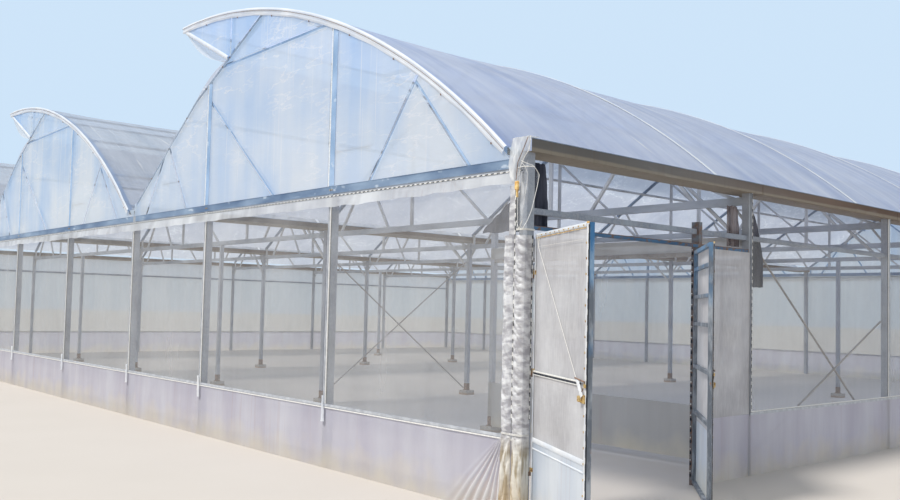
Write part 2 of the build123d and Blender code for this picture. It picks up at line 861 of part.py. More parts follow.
# Partition across the first span's first frame: rails, film band, net and skirt
partition_y = door_bay_end - post_along / 2 - seat_gap
partition_x = (-mid_post_offset - post_along / 2, -post_face - seat_gap)
partition_rail_x = (-mid_post_offset + post_along / 2, -post_face)
with BuildPart() as partition_rails:
    for top in (partition_rail_top, partition_film_top):
        wall_box(
            partition_rail_x,
            (door_bay_end - girt_width / 2, door_bay_end + girt_width / 2),
            (top - girt_height, top),
        )
partition_rails.part.label = "partition_rails"
export_step(partition_rails.part, "parts/partition_rails.step")

for kind, low, high in (
    ("skirt", footing_height + lap_gap, partition_skirt - lap_gap),
    ("net", partition_skirt, partition_rail_top - lap_gap),
    ("film", partition_rail_top, partition_film_top),
):
    with BuildPart() as partition_sheet:
        wall_box(partition_x, (partition_y - sheet, partition_y), (low, high))
    partition_sheet.part.label = f"partition_{kind}"
    export_step(partition_sheet.part, f"parts/partition_{kind}.step")

# Knee braces beside the inner frames, from the gutter posts up to the arch, each with a
# short eave strut from the post's head
knee_foot = (0, knee_brace_foot)
knee_head = (-knee_brace_reach, arch_height(-knee_brace_reach, arch_radius))
eave_strut_head = (-eave_strut_reach, line_height(knee_foot, knee_head, -eave_strut_reach))
knee_side = post_along / 2
with BuildPart() as one_knee_brace:
    with BuildSketch(Plane.XZ.offset(-knee_side)):
        Polygon(*bar_outline(knee_foot, knee_head, brace_depth), align=None)
        with Locations(arch_centre):
            Circle(arch_inner, mode=Mode.INTERSECT)
        Polygon(*bar_outline((0, eave_strut_foot), eave_strut_head, brace_depth), align=None)
    extrude(amount=-brace_depth)

with BuildPart() as knee_braces:
    with Locations(*[(x, y, 0) for x in span_starts for y in inner_frames]):
        add(one_knee_brace.part)
knee_braces.part.label = "knee_braces"
export_step(knee_braces.part, "parts/knee_braces.step")

# Crossed wind braces in the second bay, on the inner faces of the side and valley posts
wind_y = (door_bay_end + wind_brace_inset, door_bay_end + bay_length - wind_brace_inset)
with BuildPart() as wind_braces:
    for x, rising_head in zip(valley_lines, (low_brace_head, wind_brace_head)):
        for layer, ends, head in ((0, wind_y, rising_head), (1, wind_y[::-1], wind_brace_head)):
            layer_x = x - post_face - seat_gap - layer * (wind_brace_side + seat_gap)
            with BuildSketch(Plane.YZ.offset(layer_x)):
                Polygon(
                    *bar_outline((ends[0], wind_brace_foot), (ends[1], head), wind_brace_side),
                    align=None,
                )
            extrude(amount=-wind_brace_side)
wind_braces.part.label = "wind_braces"
export_step(wind_braces.part, "parts/wind_braces.step")

# Crinkled film wrapped over the corner post's front face
with BuildPart() as corner_wrap:
    wall_box(
        (post_face - wrap_side, post_face),
        (-strip_outer - wrap_depth, -strip_outer - 2 * seat_gap),
        (wrap_bottom, wrap_top),
    )
corner_wrap.part.label = "corner_wrap"
export_step(corner_wrap.part, "parts/corner_wrap.step")

# Clear film of the door bay, gathered over the corner's front and side above the door
with BuildPart() as film_bundle:
    wall_box(
        (post_face - film_bundle_side, post_face),
        (-strip_outer - wrap_depth, -strip_outer - sheet - 2 * seat_gap),
        (leaf_top + bundle_clearance, bundle_top),
    )
    wall_box(
        (film_inner, film_inner + film_bundle_depth),
        (-strip_outer - wrap_depth, post_face),
        (leaf_top + bundle_clearance, bundle_top),
    )
film_bundle.part.label = "film_bundle"
export_step(film_bundle.part, "parts/film_bundle.step")

# Dark shade cloth: bundles by the corner and by the second side post, and a drape
# inside the corner that rises towards its post
bundle_inside = -post_face - bundle_depth
bundle_start = door_bay_end + knee_side + brace_depth + seat_gap
drape_x = (-post_face - drape_width, -post_face + drape_hold)
with BuildPart() as shade_bundles:
    wall_box(
        (-girt_width / 2 - bundle_depth, -girt_width / 2 - seat_gap),
        (post_face + drape_depth + seat_gap, post_face + drape_depth + corner_bundle_width),
        (header_top + seat_gap, bundle_top),
    )
    wall_box(
        (-post_face, -girt_width / 2 - seat_gap),
        (bundle_start, bundle_start + second_bundle_width),
        second_bundle_heights,
    )
    wall_box(
        (bundle_inside, -post_face - seat_gap),
        (partition_y - sheet - inner_bundle_width, partition_y - sheet - seat_gap),
        inner_bundle_heights,
    )
    with BuildSketch(Plane.XZ.offset(-post_face - seat_gap)):
        Polygon(
            (drape_x[0], drape_heights[0]),
            (drape_x[1], drape_heights[0]),
            (drape_x[1], drape_heights[1]),
            (drape_x[0], drape_heights[0] + drape_hem),
            align=None,
        )
    extrude(amount=-(drape_depth - seat_gap))
shade_bundles.part.label = "shade_bundles"
export_step(shade_bundles.part, "parts/shade_bundles.step")
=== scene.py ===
from math import asin, atan2, cos, pi, radians, sin, sqrt

import bmesh
import bpy
from mathutils import Matrix, Vector, noise


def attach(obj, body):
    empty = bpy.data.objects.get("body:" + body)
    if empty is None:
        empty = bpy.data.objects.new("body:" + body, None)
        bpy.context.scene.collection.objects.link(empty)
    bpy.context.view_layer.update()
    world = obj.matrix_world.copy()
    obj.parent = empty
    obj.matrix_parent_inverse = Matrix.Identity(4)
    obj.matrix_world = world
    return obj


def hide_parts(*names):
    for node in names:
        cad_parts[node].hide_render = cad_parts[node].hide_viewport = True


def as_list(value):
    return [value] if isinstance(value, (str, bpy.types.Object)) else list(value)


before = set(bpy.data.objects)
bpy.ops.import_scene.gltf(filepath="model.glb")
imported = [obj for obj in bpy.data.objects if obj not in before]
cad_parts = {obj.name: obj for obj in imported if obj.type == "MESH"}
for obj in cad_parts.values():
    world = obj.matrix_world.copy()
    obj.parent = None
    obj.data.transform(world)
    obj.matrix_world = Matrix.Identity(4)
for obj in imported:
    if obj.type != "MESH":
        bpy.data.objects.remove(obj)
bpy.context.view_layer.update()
scene = bpy.context.scene

# Layout of the house, in metres. Spans run to -X from the corner post, bays run to +Y
span = 9.6
span_count = 3
bay = 4.0
bay_count = 6
width = span * span_count
length = bay * bay_count
span_starts = [-i * span for i in range(span_count)]
valley_lines = [-i * span for i in range(span_count + 1)]
frame_lines = [k * bay for k in range(bay_count + 1)]
inner_frames = frame_lines[1:-1]
gable_post_offsets = (3.37, 6.8)

# Walls: half a post, and where the sheets and the lock strips lie outside it
post_face = 0.05
sheet_out = 0.0518
strip_out = 0.0676
skirt_top = 0.77
chord_bottom = 3.4
chord_top = 3.5
strip_line = 3.365
gutter_seat = 3.544
girt_middle = 2.976

# Roof section, across one span
crest_x = -7.7
crest_z = 6.475
arch_foot_x = -0.24
arch_foot_z = 3.629
arch_run = arch_foot_x - crest_x
arch_rise = crest_z - arch_foot_z
arch_radius = (arch_rise**2 + arch_run**2) / (2 * arch_rise)
arch_centre_z = crest_z - arch_radius
arch_depth = 0.06
nose_x = -7.77
nose_purlin_x = -7.81
vent_foot_x = -6.25
rafter_foot = (-9.5, 3.705)
rafter_apex_x = -5.15
rafter_knee_x = -7.27
rafter_knee_bulge = 0.205
rafter_half = 0.025

# Door leaves, as they stand at rest
leaf_pins = {"left": (0.058, 0.056), "right": (0.058, 2.854)}
leaf_swings = {"left": 118, "right": 40}
leaf_hands = {"left": 1, "right": -1}
leaf_width = 1.394
leaf_foot = 0.035
leaf_top = 2.745
leaf_sheet_in = 0.0142
leaf_rail_z = 1.40


def arch_turn(x):
    """Angle from the crest of a point on the arch, given its place across the span."""
    return asin((x - crest_x) / arch_radius)


def arch_point(turn, lift):
    """Place across the span and height of a point that stands off the arch by lift."""
    reach = arch_radius + lift
    return crest_x + reach * sin(turn), arch_centre_z + reach * cos(turn)


def arch_height(x, lift=0.0):
    return arch_centre_z + sqrt((arch_radius + lift) ** 2 - (x - crest_x) ** 2)


rafter_apex = (rafter_apex_x, arch_height(rafter_apex_x))
knee_share = (rafter_knee_x - rafter_foot[0]) / (rafter_apex[0] - rafter_foot[0])
rafter_knee = (
    rafter_knee_x,
    rafter_foot[1] + knee_share * (rafter_apex[1] - rafter_foot[1]) + rafter_knee_bulge,
)


# Straight members of each gable frame: their feet and heads across the span, as built
brace_foot_z = 3.44
brace_spread = 0.06
arch_node_x = -1.62
arch_meet_drop = 0.13
arch_brace_feet = (-0.75, -2.59)
rafter_node_x = -8.24
nose_strut_x = -6.17
collar_foot_x = -6.42


def rafter_height(x):
    """Height of the rafter's middle line over a point across the span."""
    low, high = (rafter_foot, rafter_knee) if x < rafter_knee_x else (rafter_knee, rafter_apex)
    return low[1] + (x - low[0]) * (high[1] - low[1]) / (high[0] - low[0])


def arch_braces():
    """The long brace up to the arch and the short one that stops beside it."""
    short_foot, long_foot = ((x, brace_foot_z) for x in arch_brace_feet)
    head = (arch_node_x, arch_height(arch_node_x))
    share = 1 - arch_meet_drop / (head[1] - brace_foot_z)
    meet = (long_foot[0] + share * (head[0] - long_foot[0]), head[1] - arch_meet_drop)
    return (long_foot, head), (short_foot, meet)


def straight_members():
    """Start, end and half width of each straight member, across the span and up."""
    near_post, far_post = (-offset for offset in gable_post_offsets)
    rafter_node_z = rafter_height(rafter_node_x)
    members = [
        *((start, end, 0.022) for start, end in arch_braces()),
        ((-9.09, brace_foot_z), (rafter_node_x - brace_spread, rafter_node_z), 0.022),
        ((-7.47, brace_foot_z), (rafter_node_x + brace_spread, rafter_node_z), 0.022),
        ((-4.73, brace_foot_z), (far_post, rafter_height(far_post) - 0.27), 0.022),
        ((collar_foot_x, rafter_height(collar_foot_x)), (near_post, arch_height(near_post)), 0.022),
        ((near_post, brace_foot_z), (near_post, arch_height(near_post)), 0.068),
        ((far_post, brace_foot_z), (far_post, rafter_height(far_post)), 0.068),
        ((nose_strut_x, rafter_height(nose_strut_x)), (nose_strut_x, arch_height(nose_strut_x)), 0.022),
        (rafter_foot, rafter_knee, 0.027),
        (rafter_knee, rafter_apex, 0.027),
    ]
    return members


def leaf_axes(side):
    """A leaf's pin, its direction away from the pin and the way that its outer face looks."""
    hand, swing = leaf_hands[side], radians(leaf_swings[side])
    along = Vector((sin(swing), hand * cos(swing), 0))
    outward = Vector((hand * along.y, -hand * along.x, 0))
    return Vector((*leaf_pins[side], 0)), along, outward


def wave(share):
    """0 at both edges of a held sheet and 1 in its middle."""
    return sin(pi * min(max(share, 0), 1))


def share_between(place, stations):
    """How far a place is from one of the sorted stations to the next, from 0 to 1."""
    for low, high in zip(stations, stations[1:]):
        if low <= place <= high:
            return (place - low) / (high - low)
    return 0.0


def rough(x, y, z, seed=0.0):
    """Smooth noise from about -1 to 1."""
    return noise.noise(Vector((x + seed, y - seed, z + 2 * seed)))


gable_stations = sorted(
    [x - offset for x in span_starts for offset in (0, *gable_post_offsets)] + [-width]
)


def end_walls(stand_off):
    """Name, place along Y and outward direction of the front and the back wall."""
    return ("front", -stand_off, -1), ("back", length + stand_off, 1)


def between(low, high, share):
    """The value that lies a share of the way from low to high."""
    return low + share * (high - low)


# Meshes
def cloth_grid(bm, columns, rows, place, facing):
    """A grid with each corner put where place(u, v) says, its faces turned to facing."""
    corners = bmesh.ops.create_grid(bm, x_segments=columns, y_segments=rows, size=0.5)["verts"]
    for corner in corners:
        corner.co = place(corner.co.x + 0.5, corner.co.y + 0.5)
    faces = list(dict.fromkeys(face for corner in corners for face in corner.link_faces))
    for face in faces:
        face.normal_update()
    if sum((face.normal for face in faces), Vector()).dot(Vector(facing)) < 0:
        bmesh.ops.reverse_faces(bm, faces=faces)
    return faces


def pour(target, source, matrix):
    """Adds a finished small bmesh to a larger one, at its place."""
    mesh = bpy.data.meshes.new("poured")
    source.to_mesh(mesh)
    mesh.transform(matrix)
    target.from_mesh(mesh)
    bpy.data.meshes.remove(mesh)
    source.free()


def laid_block(target, matrix, low, high, bevel=0.0):
    """A box given in the directions of a run, with its edges eased, added at its place.

    It is made by itself, because a bevel beside round bars changes order from run to run.
    """
    low, high = Vector(low), Vector(high)
    unit = bmesh.new()
    corners = bmesh.ops.create_cube(unit, size=1)["verts"]
    bmesh.ops.scale(unit, vec=high - low, verts=corners)
    bmesh.ops.translate(unit, vec=(low + high) / 2, verts=corners)
    if bevel:
        edges = unit.edges[:]
        bmesh.ops.bevel(
            unit, geom=edges, offset=bevel, affect="EDGES", segments=1, profile=0.5, material=-1
        )
    pour(target, unit, matrix)


def block(target, low, high, bevel=0.0):
    """A box between two corners, in the frame's own directions."""
    laid_block(target, Matrix(), low, high, bevel)


def tube(bm, start, end, radius, sides=6):
    """A round bar between two points, closed at both ends."""
    start, end = Vector(start), Vector(end)
    run = end - start
    turn = Vector((0, 0, 1)).rotation_difference(run).to_matrix().to_4x4()
    bmesh.ops.create_cone(
        bm,
        cap_ends=True,
        segments=sides,
        radius1=radius,
        radius2=radius,
        depth=run.length,
        matrix=Matrix.Translation((start + end) / 2) @ turn,
    )


def bent_bar(bm, spots, radius, sides=6):
    """Round bars from each spot to the next."""
    for start, end in zip(spots, spots[1:]):
        tube(bm, start, end, radius, sides)


def repeated(unit, step, total):
    """Copies of a small bmesh along X, one every step, cut off at the total length."""
    length_now = step
    while length_now < total:
        copied = bmesh.ops.duplicate(unit, geom=unit.verts[:] + unit.edges[:] + unit.faces[:])
        verts = [g for g in copied["geom"] if isinstance(g, bmesh.types.BMVert)]
        bmesh.ops.translate(unit, vec=(length_now, 0, 0), verts=verts)
        length_now *= 2
    extra = [v for v in unit.verts if v.co.x > total]
    bmesh.ops.delete(unit, geom=extra, context="VERTS")
    return unit


def placed(origin, along, outward):
    """A matrix with X along a run, Z outwards and Y across it."""
    along, outward = Vector(along), Vector(outward)
    across = outward.cross(along)
    turn = Matrix((along, across, outward)).transposed().to_4x4()
    return Matrix.Translation(Vector(origin)) @ turn


def make_piece(name, bm, material, slot, body="root", stands_for=(), smooth=False):
    """Turns a bmesh into a named piece that rides on a body."""
    mesh = bpy.data.meshes.new(name)
    bm.to_mesh(mesh)
    bm.free()
    mesh.materials.append(material)
    mesh.polygons.foreach_set("use_smooth", [smooth] * len(mesh.polygons))
    piece = bpy.data.objects.new(name, mesh)
    scene.collection.objects.link(piece)
    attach(piece, body)
    if stands_for:
        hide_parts(*stands_for)
    return piece


def make_cloth(name, grids, material, slot, held, rests_on, body="root", stands_for=()):
    """A piece made of one or more cloth grids."""
    bm = bmesh.new()
    for columns, rows, place, facing in grids:
        cloth_grid(bm, columns, rows, place, facing)
    piece = make_piece(name, bm, material, slot, body, stands_for, smooth=True)
    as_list(rests_on)
    return piece


# Materials
class Nodes:
    """Short calls for the nodes of one material."""

    def __init__(self, name):
        self.material = bpy.data.materials.new(name)
        self.material.use_nodes = True
        self.tree = self.material.node_tree
        self.tree.nodes.clear()

    def add(self, kind, settings=None, **sockets):
        node = self.tree.nodes.new("ShaderNode" + kind)
        for key, value in (settings or {}).items():
            setattr(node, key, value)
        for key, value in sockets.items():
            self.join(node.inputs[key.replace("_", " ")], value)
        return node

    def join(self, socket, value):
        if isinstance(value, bpy.types.NodeSocket):
            self.tree.links.new(value, socket)
        else:
            socket.default_value = value

    def place(self, scale=(1, 1, 1), turn=(0, 0, 0)):
        """The object's own coordinates, stretched and turned."""
        coords = self.add("TexCoord").outputs["Object"]
        return self.add("Mapping", Vector=coords, Scale=scale, Rotation=turn).outputs["Vector"]

    def noise(self, scale, stretch=(1, 1, 1), detail=3.0, turn=(0, 0, 0), roughness=0.5):
        at = self.place(stretch, turn)
        return self.add(
            "TexNoise", Vector=at, Scale=scale, Detail=detail, Roughness=roughness
        ).outputs["Fac"]

    def cells(self, scale):
        return self.add("TexVoronoi", Vector=self.place(), Scale=scale).outputs["Color"]

    def span(self, value, low, high, to_low=0.0, to_high=1.0):
        """A value mapped from one range to another, held at both ends."""
        return self.add(
            "MapRange", Value=value, From_Min=low, From_Max=high, To_Min=to_low, To_Max=to_high
        ).outputs["Result"]

    def patches(self, low, high, scale, **look):
        """Noise whose part from low to high is spread over 0 to 1."""
        return self.span(self.noise(scale, **look), low, high)

    def mix(self, share, first, second, how="MIX"):
        node = self.add("MixRGB", {"blend_type": how})
        for socket, value in zip(node.inputs, (share, first, second)):
            is_colour = isinstance(value, tuple)
            self.join(socket, (*value, 1) if is_colour and len(value) == 3 else value)
        return node.outputs["Color"]

    def maths(self, how, first, second=0.0):
        node = self.add("Math", {"operation": how})
        self.join(node.inputs[0], first)
        self.join(node.inputs[1], second)
        return node.outputs["Value"]

    def times(self, first, second):
        return self.maths("MULTIPLY", first, second)

    def tint(self, colour, share, strength, tone):
        """A colour with a tone laid over it where share is high."""
        return self.mix(self.times(share, strength), colour, tone)

    def along(self, axis):
        """Place along one axis."""
        coords = self.add("TexCoord").outputs["Object"]
        return self.add("SeparateXYZ", Vector=coords).outputs[axis]

    def height(self):
        """Height over the ground."""
        return self.along("Z")

    def vector(self, how, first, second):
        node = self.add("VectorMath", {"operation": how})
        self.join(node.inputs[0], first)
        self.join(node.inputs["Scale" if how == "SCALE" else 1], second)
        return node.outputs["Value" if how in ("DOT_PRODUCT", "DISTANCE") else "Vector"]

    def in_span(self):
        """Place across one span and up, the same in every span."""
        across = self.maths("MODULO", self.maths("ADD", self.along("X"), width), span)
        across = self.maths("SUBTRACT", across, span)
        return self.add("CombineXYZ", X=across, Z=self.height()).outputs["Vector"]

    def near_line(self, spot, start, end, half_width):
        """1 on a straight member and 0 away from it."""
        start, end = Vector((start[0], 0, start[1])), Vector((end[0], 0, end[1]))
        run = end - start
        offset = self.vector("SUBTRACT", spot, tuple(start))
        reach = self.vector("DOT_PRODUCT", offset, tuple(run))
        share = self.span(reach, 0.0, run.length_squared)
        gap = self.vector("DISTANCE", offset, self.vector("SCALE", tuple(run), share))
        return self.span(gap, half_width, half_width * 1.25, 1.0, 0.0)

    def near_arch(self, spot, half_width):
        """1 on the arch and 0 away from it."""
        reach = self.vector("DISTANCE", spot, (crest_x, 0, arch_centre_z))
        middle = arch_radius - arch_depth / 2
        gap = self.maths("ABSOLUTE", self.maths("SUBTRACT", reach, middle))
        return self.span(gap, half_width, half_width * 1.25, 1.0, 0.0)

    def bump(self, height, distance, strength=1.0, normal=None):
        node = self.add("Bump", Height=height, Distance=distance, Strength=strength)
        if normal is not None:
            self.join(node.inputs["Normal"], normal)
        return node.outputs["Normal"]

    def solid(self, colour, roughness, metallic=0.0, normal=None, specular=0.5):
        """Ends the material as an opaque surface."""
        shader = self.add("BsdfPrincipled", Metallic=metallic, Specular_IOR_Level=specular)
        self.join(shader.inputs["Base Color"], colour)
        self.join(shader.inputs["Roughness"], roughness)
        if normal is not None:
            self.join(shader.inputs["Normal"], normal)
        self.add("OutputMaterial", Surface=shader.outputs["BSDF"])
        return self.material

    def film(self, colour, opacity, glow, roughness, normal=None, specular=0.4):
        """Ends the material as a thin sheet that light passes, partly straight through."""
        front = self.add("BsdfPrincipled", Specular_IOR_Level=specular, Roughness=roughness)
        back = self.add("BsdfTranslucent")
        for shader, socket in ((front, "Base Color"), (back, "Color")):
            self.join(shader.inputs[socket], colour)
            if normal is not None:
                self.join(shader.inputs["Normal"], normal)
        clear = self.add("BsdfTransparent")
        body = self.add("MixShader")
        self.join(body.inputs[0], glow)
        self.join(body.inputs[1], front.outputs["BSDF"])
        self.join(body.inputs[2], back.outputs["BSDF"])
        both = self.add("MixShader")
        self.join(both.inputs[0], opacity)
        self.join(both.inputs[1], clear.outputs["BSDF"])
        self.join(both.inputs[2], body.outputs["Shader"])
        self.add("OutputMaterial", Surface=both.outputs["Shader"])
        return self.material


def zinc(name, pale, dark, dust=0.25):
    """Dull galvanised steel: spangle, cloudy stains, streaks of dust and a few rust spots."""
    n = Nodes(name)
    spangle = n.span(n.add("RGBToBW", Color=n.cells(55.0)).outputs["Val"], 0.2, 0.8)
    clouds = n.patches(0.35, 0.68, 2.2, detail=5.0)
    colour = n.mix(clouds, dark, pale)
    colour = n.tint(colour, spangle, 0.20, (0.62, 0.65, 0.69))
    streaks = n.patches(0.52, 0.75, 9.0, stretch=(1, 1, 0.12), detail=4.0)
    colour = n.mix(n.times(streaks, dust), colour, (0.34, 0.29, 0.23))
    rust = n.patches(0.70, 0.78, 14.0, detail=6.0, roughness=0.7)
    colour = n.tint(colour, rust, 0.8, (0.30, 0.15, 0.07))
    normal = n.bump(n.noise(60.0, detail=4.0), 0.002, 0.35)
    roughness = n.span(spangle, 0.0, 1.0, 0.42, 0.62)
    return n.solid(colour, roughness, 0.15, normal)


def gable_zinc(name, blues, greys, stretch):
    """Zinc of the roof frames: streaky blue-grey behind the gable films, dull grey inside."""
    n = Nodes(name)
    clouds = n.patches(0.35, 0.66, 2.6, stretch=stretch, detail=6.0)
    blue = n.mix(clouds, *blues)
    scuffs = n.patches(0.62, 0.70, 9.0, stretch=stretch, detail=5.0)
    blue = n.tint(blue, scuffs, 0.6, (0.62, 0.70, 0.78))
    grey = n.mix(clouds, *greys)
    rust = n.patches(0.70, 0.78, 14.0, detail=6.0, roughness=0.7)
    grey = n.tint(grey, rust, 0.7, (0.28, 0.15, 0.08))
    from_front = n.span(n.along("Y"), 0.2, 0.3)
    from_back = n.span(n.along("Y"), length - 0.3, length - 0.2, 1.0, 0.0)
    inside = n.times(from_front, from_back)
    colour = n.mix(inside, blue, grey)
    return n.solid(colour, 0.55, 0.1, n.bump(clouds, 0.002, 0.3))


def gutter_sheet():
    """Galvanised gutter sheet under brown dust, with run-down streaks from its lip and painted shade on
    its end face.
    """
    n = Nodes("dusty_gutter")
    clouds = n.patches(0.32, 0.70, 0.8, stretch=(1, 0.25, 2.0), detail=6.0)
    dusty = n.span(n.along("Y"), 2.0, 6.0)
    near = n.mix(clouds, (0.085, 0.078, 0.070), (0.17, 0.155, 0.14))
    colour = n.mix(dusty, near, n.mix(clouds, (0.11, 0.062, 0.038), (0.20, 0.125, 0.080)))
    ragged = n.maths("ADD", n.height(), n.times(clouds, 0.03))
    lower = n.span(ragged, 3.585, 3.605, 1.0, 0.0)
    colour = n.tint(colour, lower, 0.65, (0.32, 0.27, 0.20))
    # Painted shade: the end face darkened as if in shadow
    end = n.span(n.along("Y"), -0.048, -0.044, 1.0, 0.0)
    colour = n.tint(colour, end, 0.7, (0.10, 0.095, 0.10))
    runs = n.patches(0.52, 0.76, 14.0, stretch=(1, 1, 0.1), detail=5.0)
    colour = n.tint(colour, runs, 0.35, (0.13, 0.085, 0.055))
    bare = n.patches(0.60, 0.74, 5.0, stretch=(1, 0.2, 1.5), detail=5.0)
    colour = n.tint(colour, bare, 0.25, (0.36, 0.33, 0.30))
    normal = n.bump(n.noise(7.0, stretch=(1, 0.4, 1), detail=4.0), 0.006, 0.5)
    return n.solid(colour, n.span(clouds, 0, 1, 0.75, 0.5), 0.2, normal)


def cast_concrete():
    """Rough cast blocks with pits and dirt on their lower edge."""
    n = Nodes("cast_concrete")
    grain = n.noise(35.0, detail=8.0, roughness=0.7)
    colour = n.mix(n.span(grain, 0.3, 0.7), (0.33, 0.30, 0.27), (0.55, 0.52, 0.48))
    dirt = n.span(n.height(), 0.0, 0.06, 0.7, 0.0)
    colour = n.mix(dirt, colour, (0.36, 0.20, 0.10))
    return n.solid(colour, 0.9, 0.0, n.bump(grain, 0.006, 0.9), 0.3)


def roof_sheeting(name, pale, dark, clear, dense):
    """Diffuse white film of a roof, with folds that run down the arch, glints and dust."""
    n = Nodes(name)
    folds = n.noise(1.1, stretch=(0.35, 2.2, 0.35), detail=4.0, turn=(0.0, 0.0, 0.35))
    colour = n.mix(n.span(folds, 0.3, 0.7), dark, pale)
    glints = n.patches(0.66, 0.72, 2.6, stretch=(0.25, 4.0, 0.25), detail=3.0, turn=(0.0, 0.0, 0.45))
    colour = n.tint(colour, glints, 0.7, (0.93, 0.94, 0.96))
    fine = n.noise(5.0, stretch=(0.3, 2.5, 0.3), detail=6.0, turn=(0.0, 0.0, -0.5))
    normal = n.bump(folds, 0.08, 0.45)
    normal = n.bump(fine, 0.012, 0.4, normal)
    opacity = n.span(folds, 0.3, 0.75, clear, dense)
    return n.film(colour, opacity, 0.50, 0.36, normal)


def clear_film(name, shown_members, blue, white, clear, dense):
    """Film of gables and slopes: soft streaks and creases, clearest where it lies on steel."""
    n = Nodes(name)
    streaks = n.noise(1.4, stretch=(1.6, 1.6, 0.12), detail=4.0, roughness=0.5)
    patches = n.noise(0.45, detail=3.0)
    tone = n.maths("ADD", n.times(streaks, 0.32), n.times(patches, 0.68))
    low = n.span(n.height(), 3.6, 6.2, 0.10, -0.06)
    colour = n.mix(n.span(n.maths("ADD", tone, low), 0.38, 0.64), blue, white)
    creases = n.noise(1.1, stretch=(0.5, 0.5, 1.9), detail=6.0, roughness=0.6, turn=(0.0, 0.45, 0.0))
    lines = n.span(n.maths("ABSOLUTE", n.maths("SUBTRACT", creases, 0.52)), 0.0, 0.012, 1.0, 0.0)
    marks = n.times(lines, n.span(patches, 0.42, 0.56))
    threads = n.patches(0.64, 0.70, 7.0, stretch=(2.6, 2.6, 0.05), detail=2.0, turn=(0.0, 0.08, 0.0))
    marks = n.maths("MAXIMUM", marks, n.times(threads, 0.55))
    colour = n.tint(colour, marks, 0.75, (0.98, 0.99, 1.0))
    normal = n.bump(streaks, 0.02, 0.3)
    normal = n.bump(creases, 0.03, 0.4, normal)
    cover = n.span(tone, 0.38, 0.64, clear, dense)
    opacity = n.maths("MAXIMUM", cover, n.times(marks, 0.95))
    if shown_members:
        spot = n.in_span()
        touching = n.near_arch(spot, 0.031)
        for start, end, half_width in straight_members():
            touching = n.maths("MAXIMUM", touching, n.near_line(spot, start, end, half_width))
        opacity = n.times(opacity, n.span(touching, 0.0, 1.0, 1.0, 0.22))
    return n.film(colour, opacity, 0.50, 0.28, normal)


def insect_netting(name, opacity, pale):
    """Fine white net: a close weave, faint upright folds and dust."""
    n = Nodes(name)
    clouds = n.noise(1.0, stretch=(1.2, 1.2, 0.4), detail=5.0)
    colour = n.mix(n.span(clouds, 0.3, 0.7), tuple(0.8 * part for part in pale), pale)
    warp = n.add("TexWave", {"bands_direction": "X"}, Vector=n.place(), Scale=60.0)
    weft = n.add("TexWave", {"bands_direction": "Z"}, Vector=n.place(), Scale=60.0)
    weave = n.maths("MAXIMUM", warp.outputs["Fac"], weft.outputs["Fac"])
    folds = n.noise(3.0, stretch=(2.0, 2.0, 0.12), detail=4.0)
    normal = n.bump(folds, 0.02, 0.3)
    normal = n.bump(weave, 0.0008, 0.4, normal)
    cover = n.span(clouds, 0.25, 0.75, opacity - 0.05, opacity + 0.06)
    cover = n.maths("ADD", cover, n.span(folds, 0.35, 0.7, -0.02, 0.03))
    return n.film(colour, cover, 0.40, 0.8, normal, 0.1)


def door_netting():
    """Double net of the door: greyer and closer, with a weave and slanting pulls."""
    n = Nodes("door_netting")
    clouds = n.noise(1.6, detail=5.0)
    colour = n.mix(n.span(clouds, 0.3, 0.7), (0.50, 0.48, 0.49), (0.72, 0.71, 0.72))
    threads = n.noise(90.0, stretch=(1, 1, 0.08), detail=2.0)
    colour = n.mix(n.span(threads, 0.45, 0.7, 0.0, 0.35), colour, (0.86, 0.85, 0.84))
    pulls = n.noise(7.0, stretch=(0.6, 0.6, 1.6), detail=4.0, turn=(0.5, 0.6, 0.0))
    normal = n.bump(pulls, 0.012, 0.5)
    normal = n.bump(threads, 0.001, 0.5, normal)
    return n.film(colour, n.span(clouds, 0.3, 0.7, 0.80, 0.88), 0.30, 0.8, normal, 0.1)


def skirt_sheeting(name, dark, pale, clear, dense):
    """White film of the skirts: faint lilac streaks, dirt splashed on the foot, and painted highlights on
    the corner fan's ridges with painted shade in its valleys.
    """
    n = Nodes(name)
    height = n.height()
    streaks = n.noise(0.9, stretch=(2.4, 2.4, 0.5), detail=5.0, roughness=0.5)
    colour = n.mix(n.span(streaks, 0.3, 0.7), dark, pale)
    patches = n.patches(0.45, 0.62, 0.5, detail=2.0)
    drips = n.patches(0.56, 0.70, 9.0, stretch=(3.0, 3.0, 0.05), detail=4.0)
    drips = n.times(drips, patches)
    colour = n.tint(colour, drips, 0.35, (0.50, 0.36, 0.36))
    ragged = n.maths("ADD", height, n.span(n.noise(2.5, detail=4.0), 0.3, 0.7, -0.12, 0.12))
    dirt = n.span(ragged, 0.0, 0.36, 0.55, 0.0)
    colour = n.mix(dirt, colour, (0.86, 0.76, 0.55))
    # Painted light on the fan: a highlight on each ridge, and shade tinted brown by light from the soil
    # in each valley
    fan = n.add("Attribute", {"attribute_name": "crease"}).outputs["Fac"]
    colour = n.mix(n.span(fan, 0.0, 0.8, 0.0, 0.85), colour, (0.95, 0.93, 0.92))
    colour = n.mix(n.span(fan, 0.0, -0.8, 0.0, 0.55), colour, (0.46, 0.34, 0.29))
    creases = n.noise(5.0, stretch=(1.0, 1.0, 0.45), detail=5.0, turn=(0.4, 0.5, 0.0))
    normal = n.bump(streaks, 0.010, 0.5)
    normal = n.bump(creases, 0.016, 0.5, normal)
    opacity = n.span(streaks, 0.3, 0.7, clear, dense)
    return n.film(colour, opacity, 0.40, 0.30, normal)


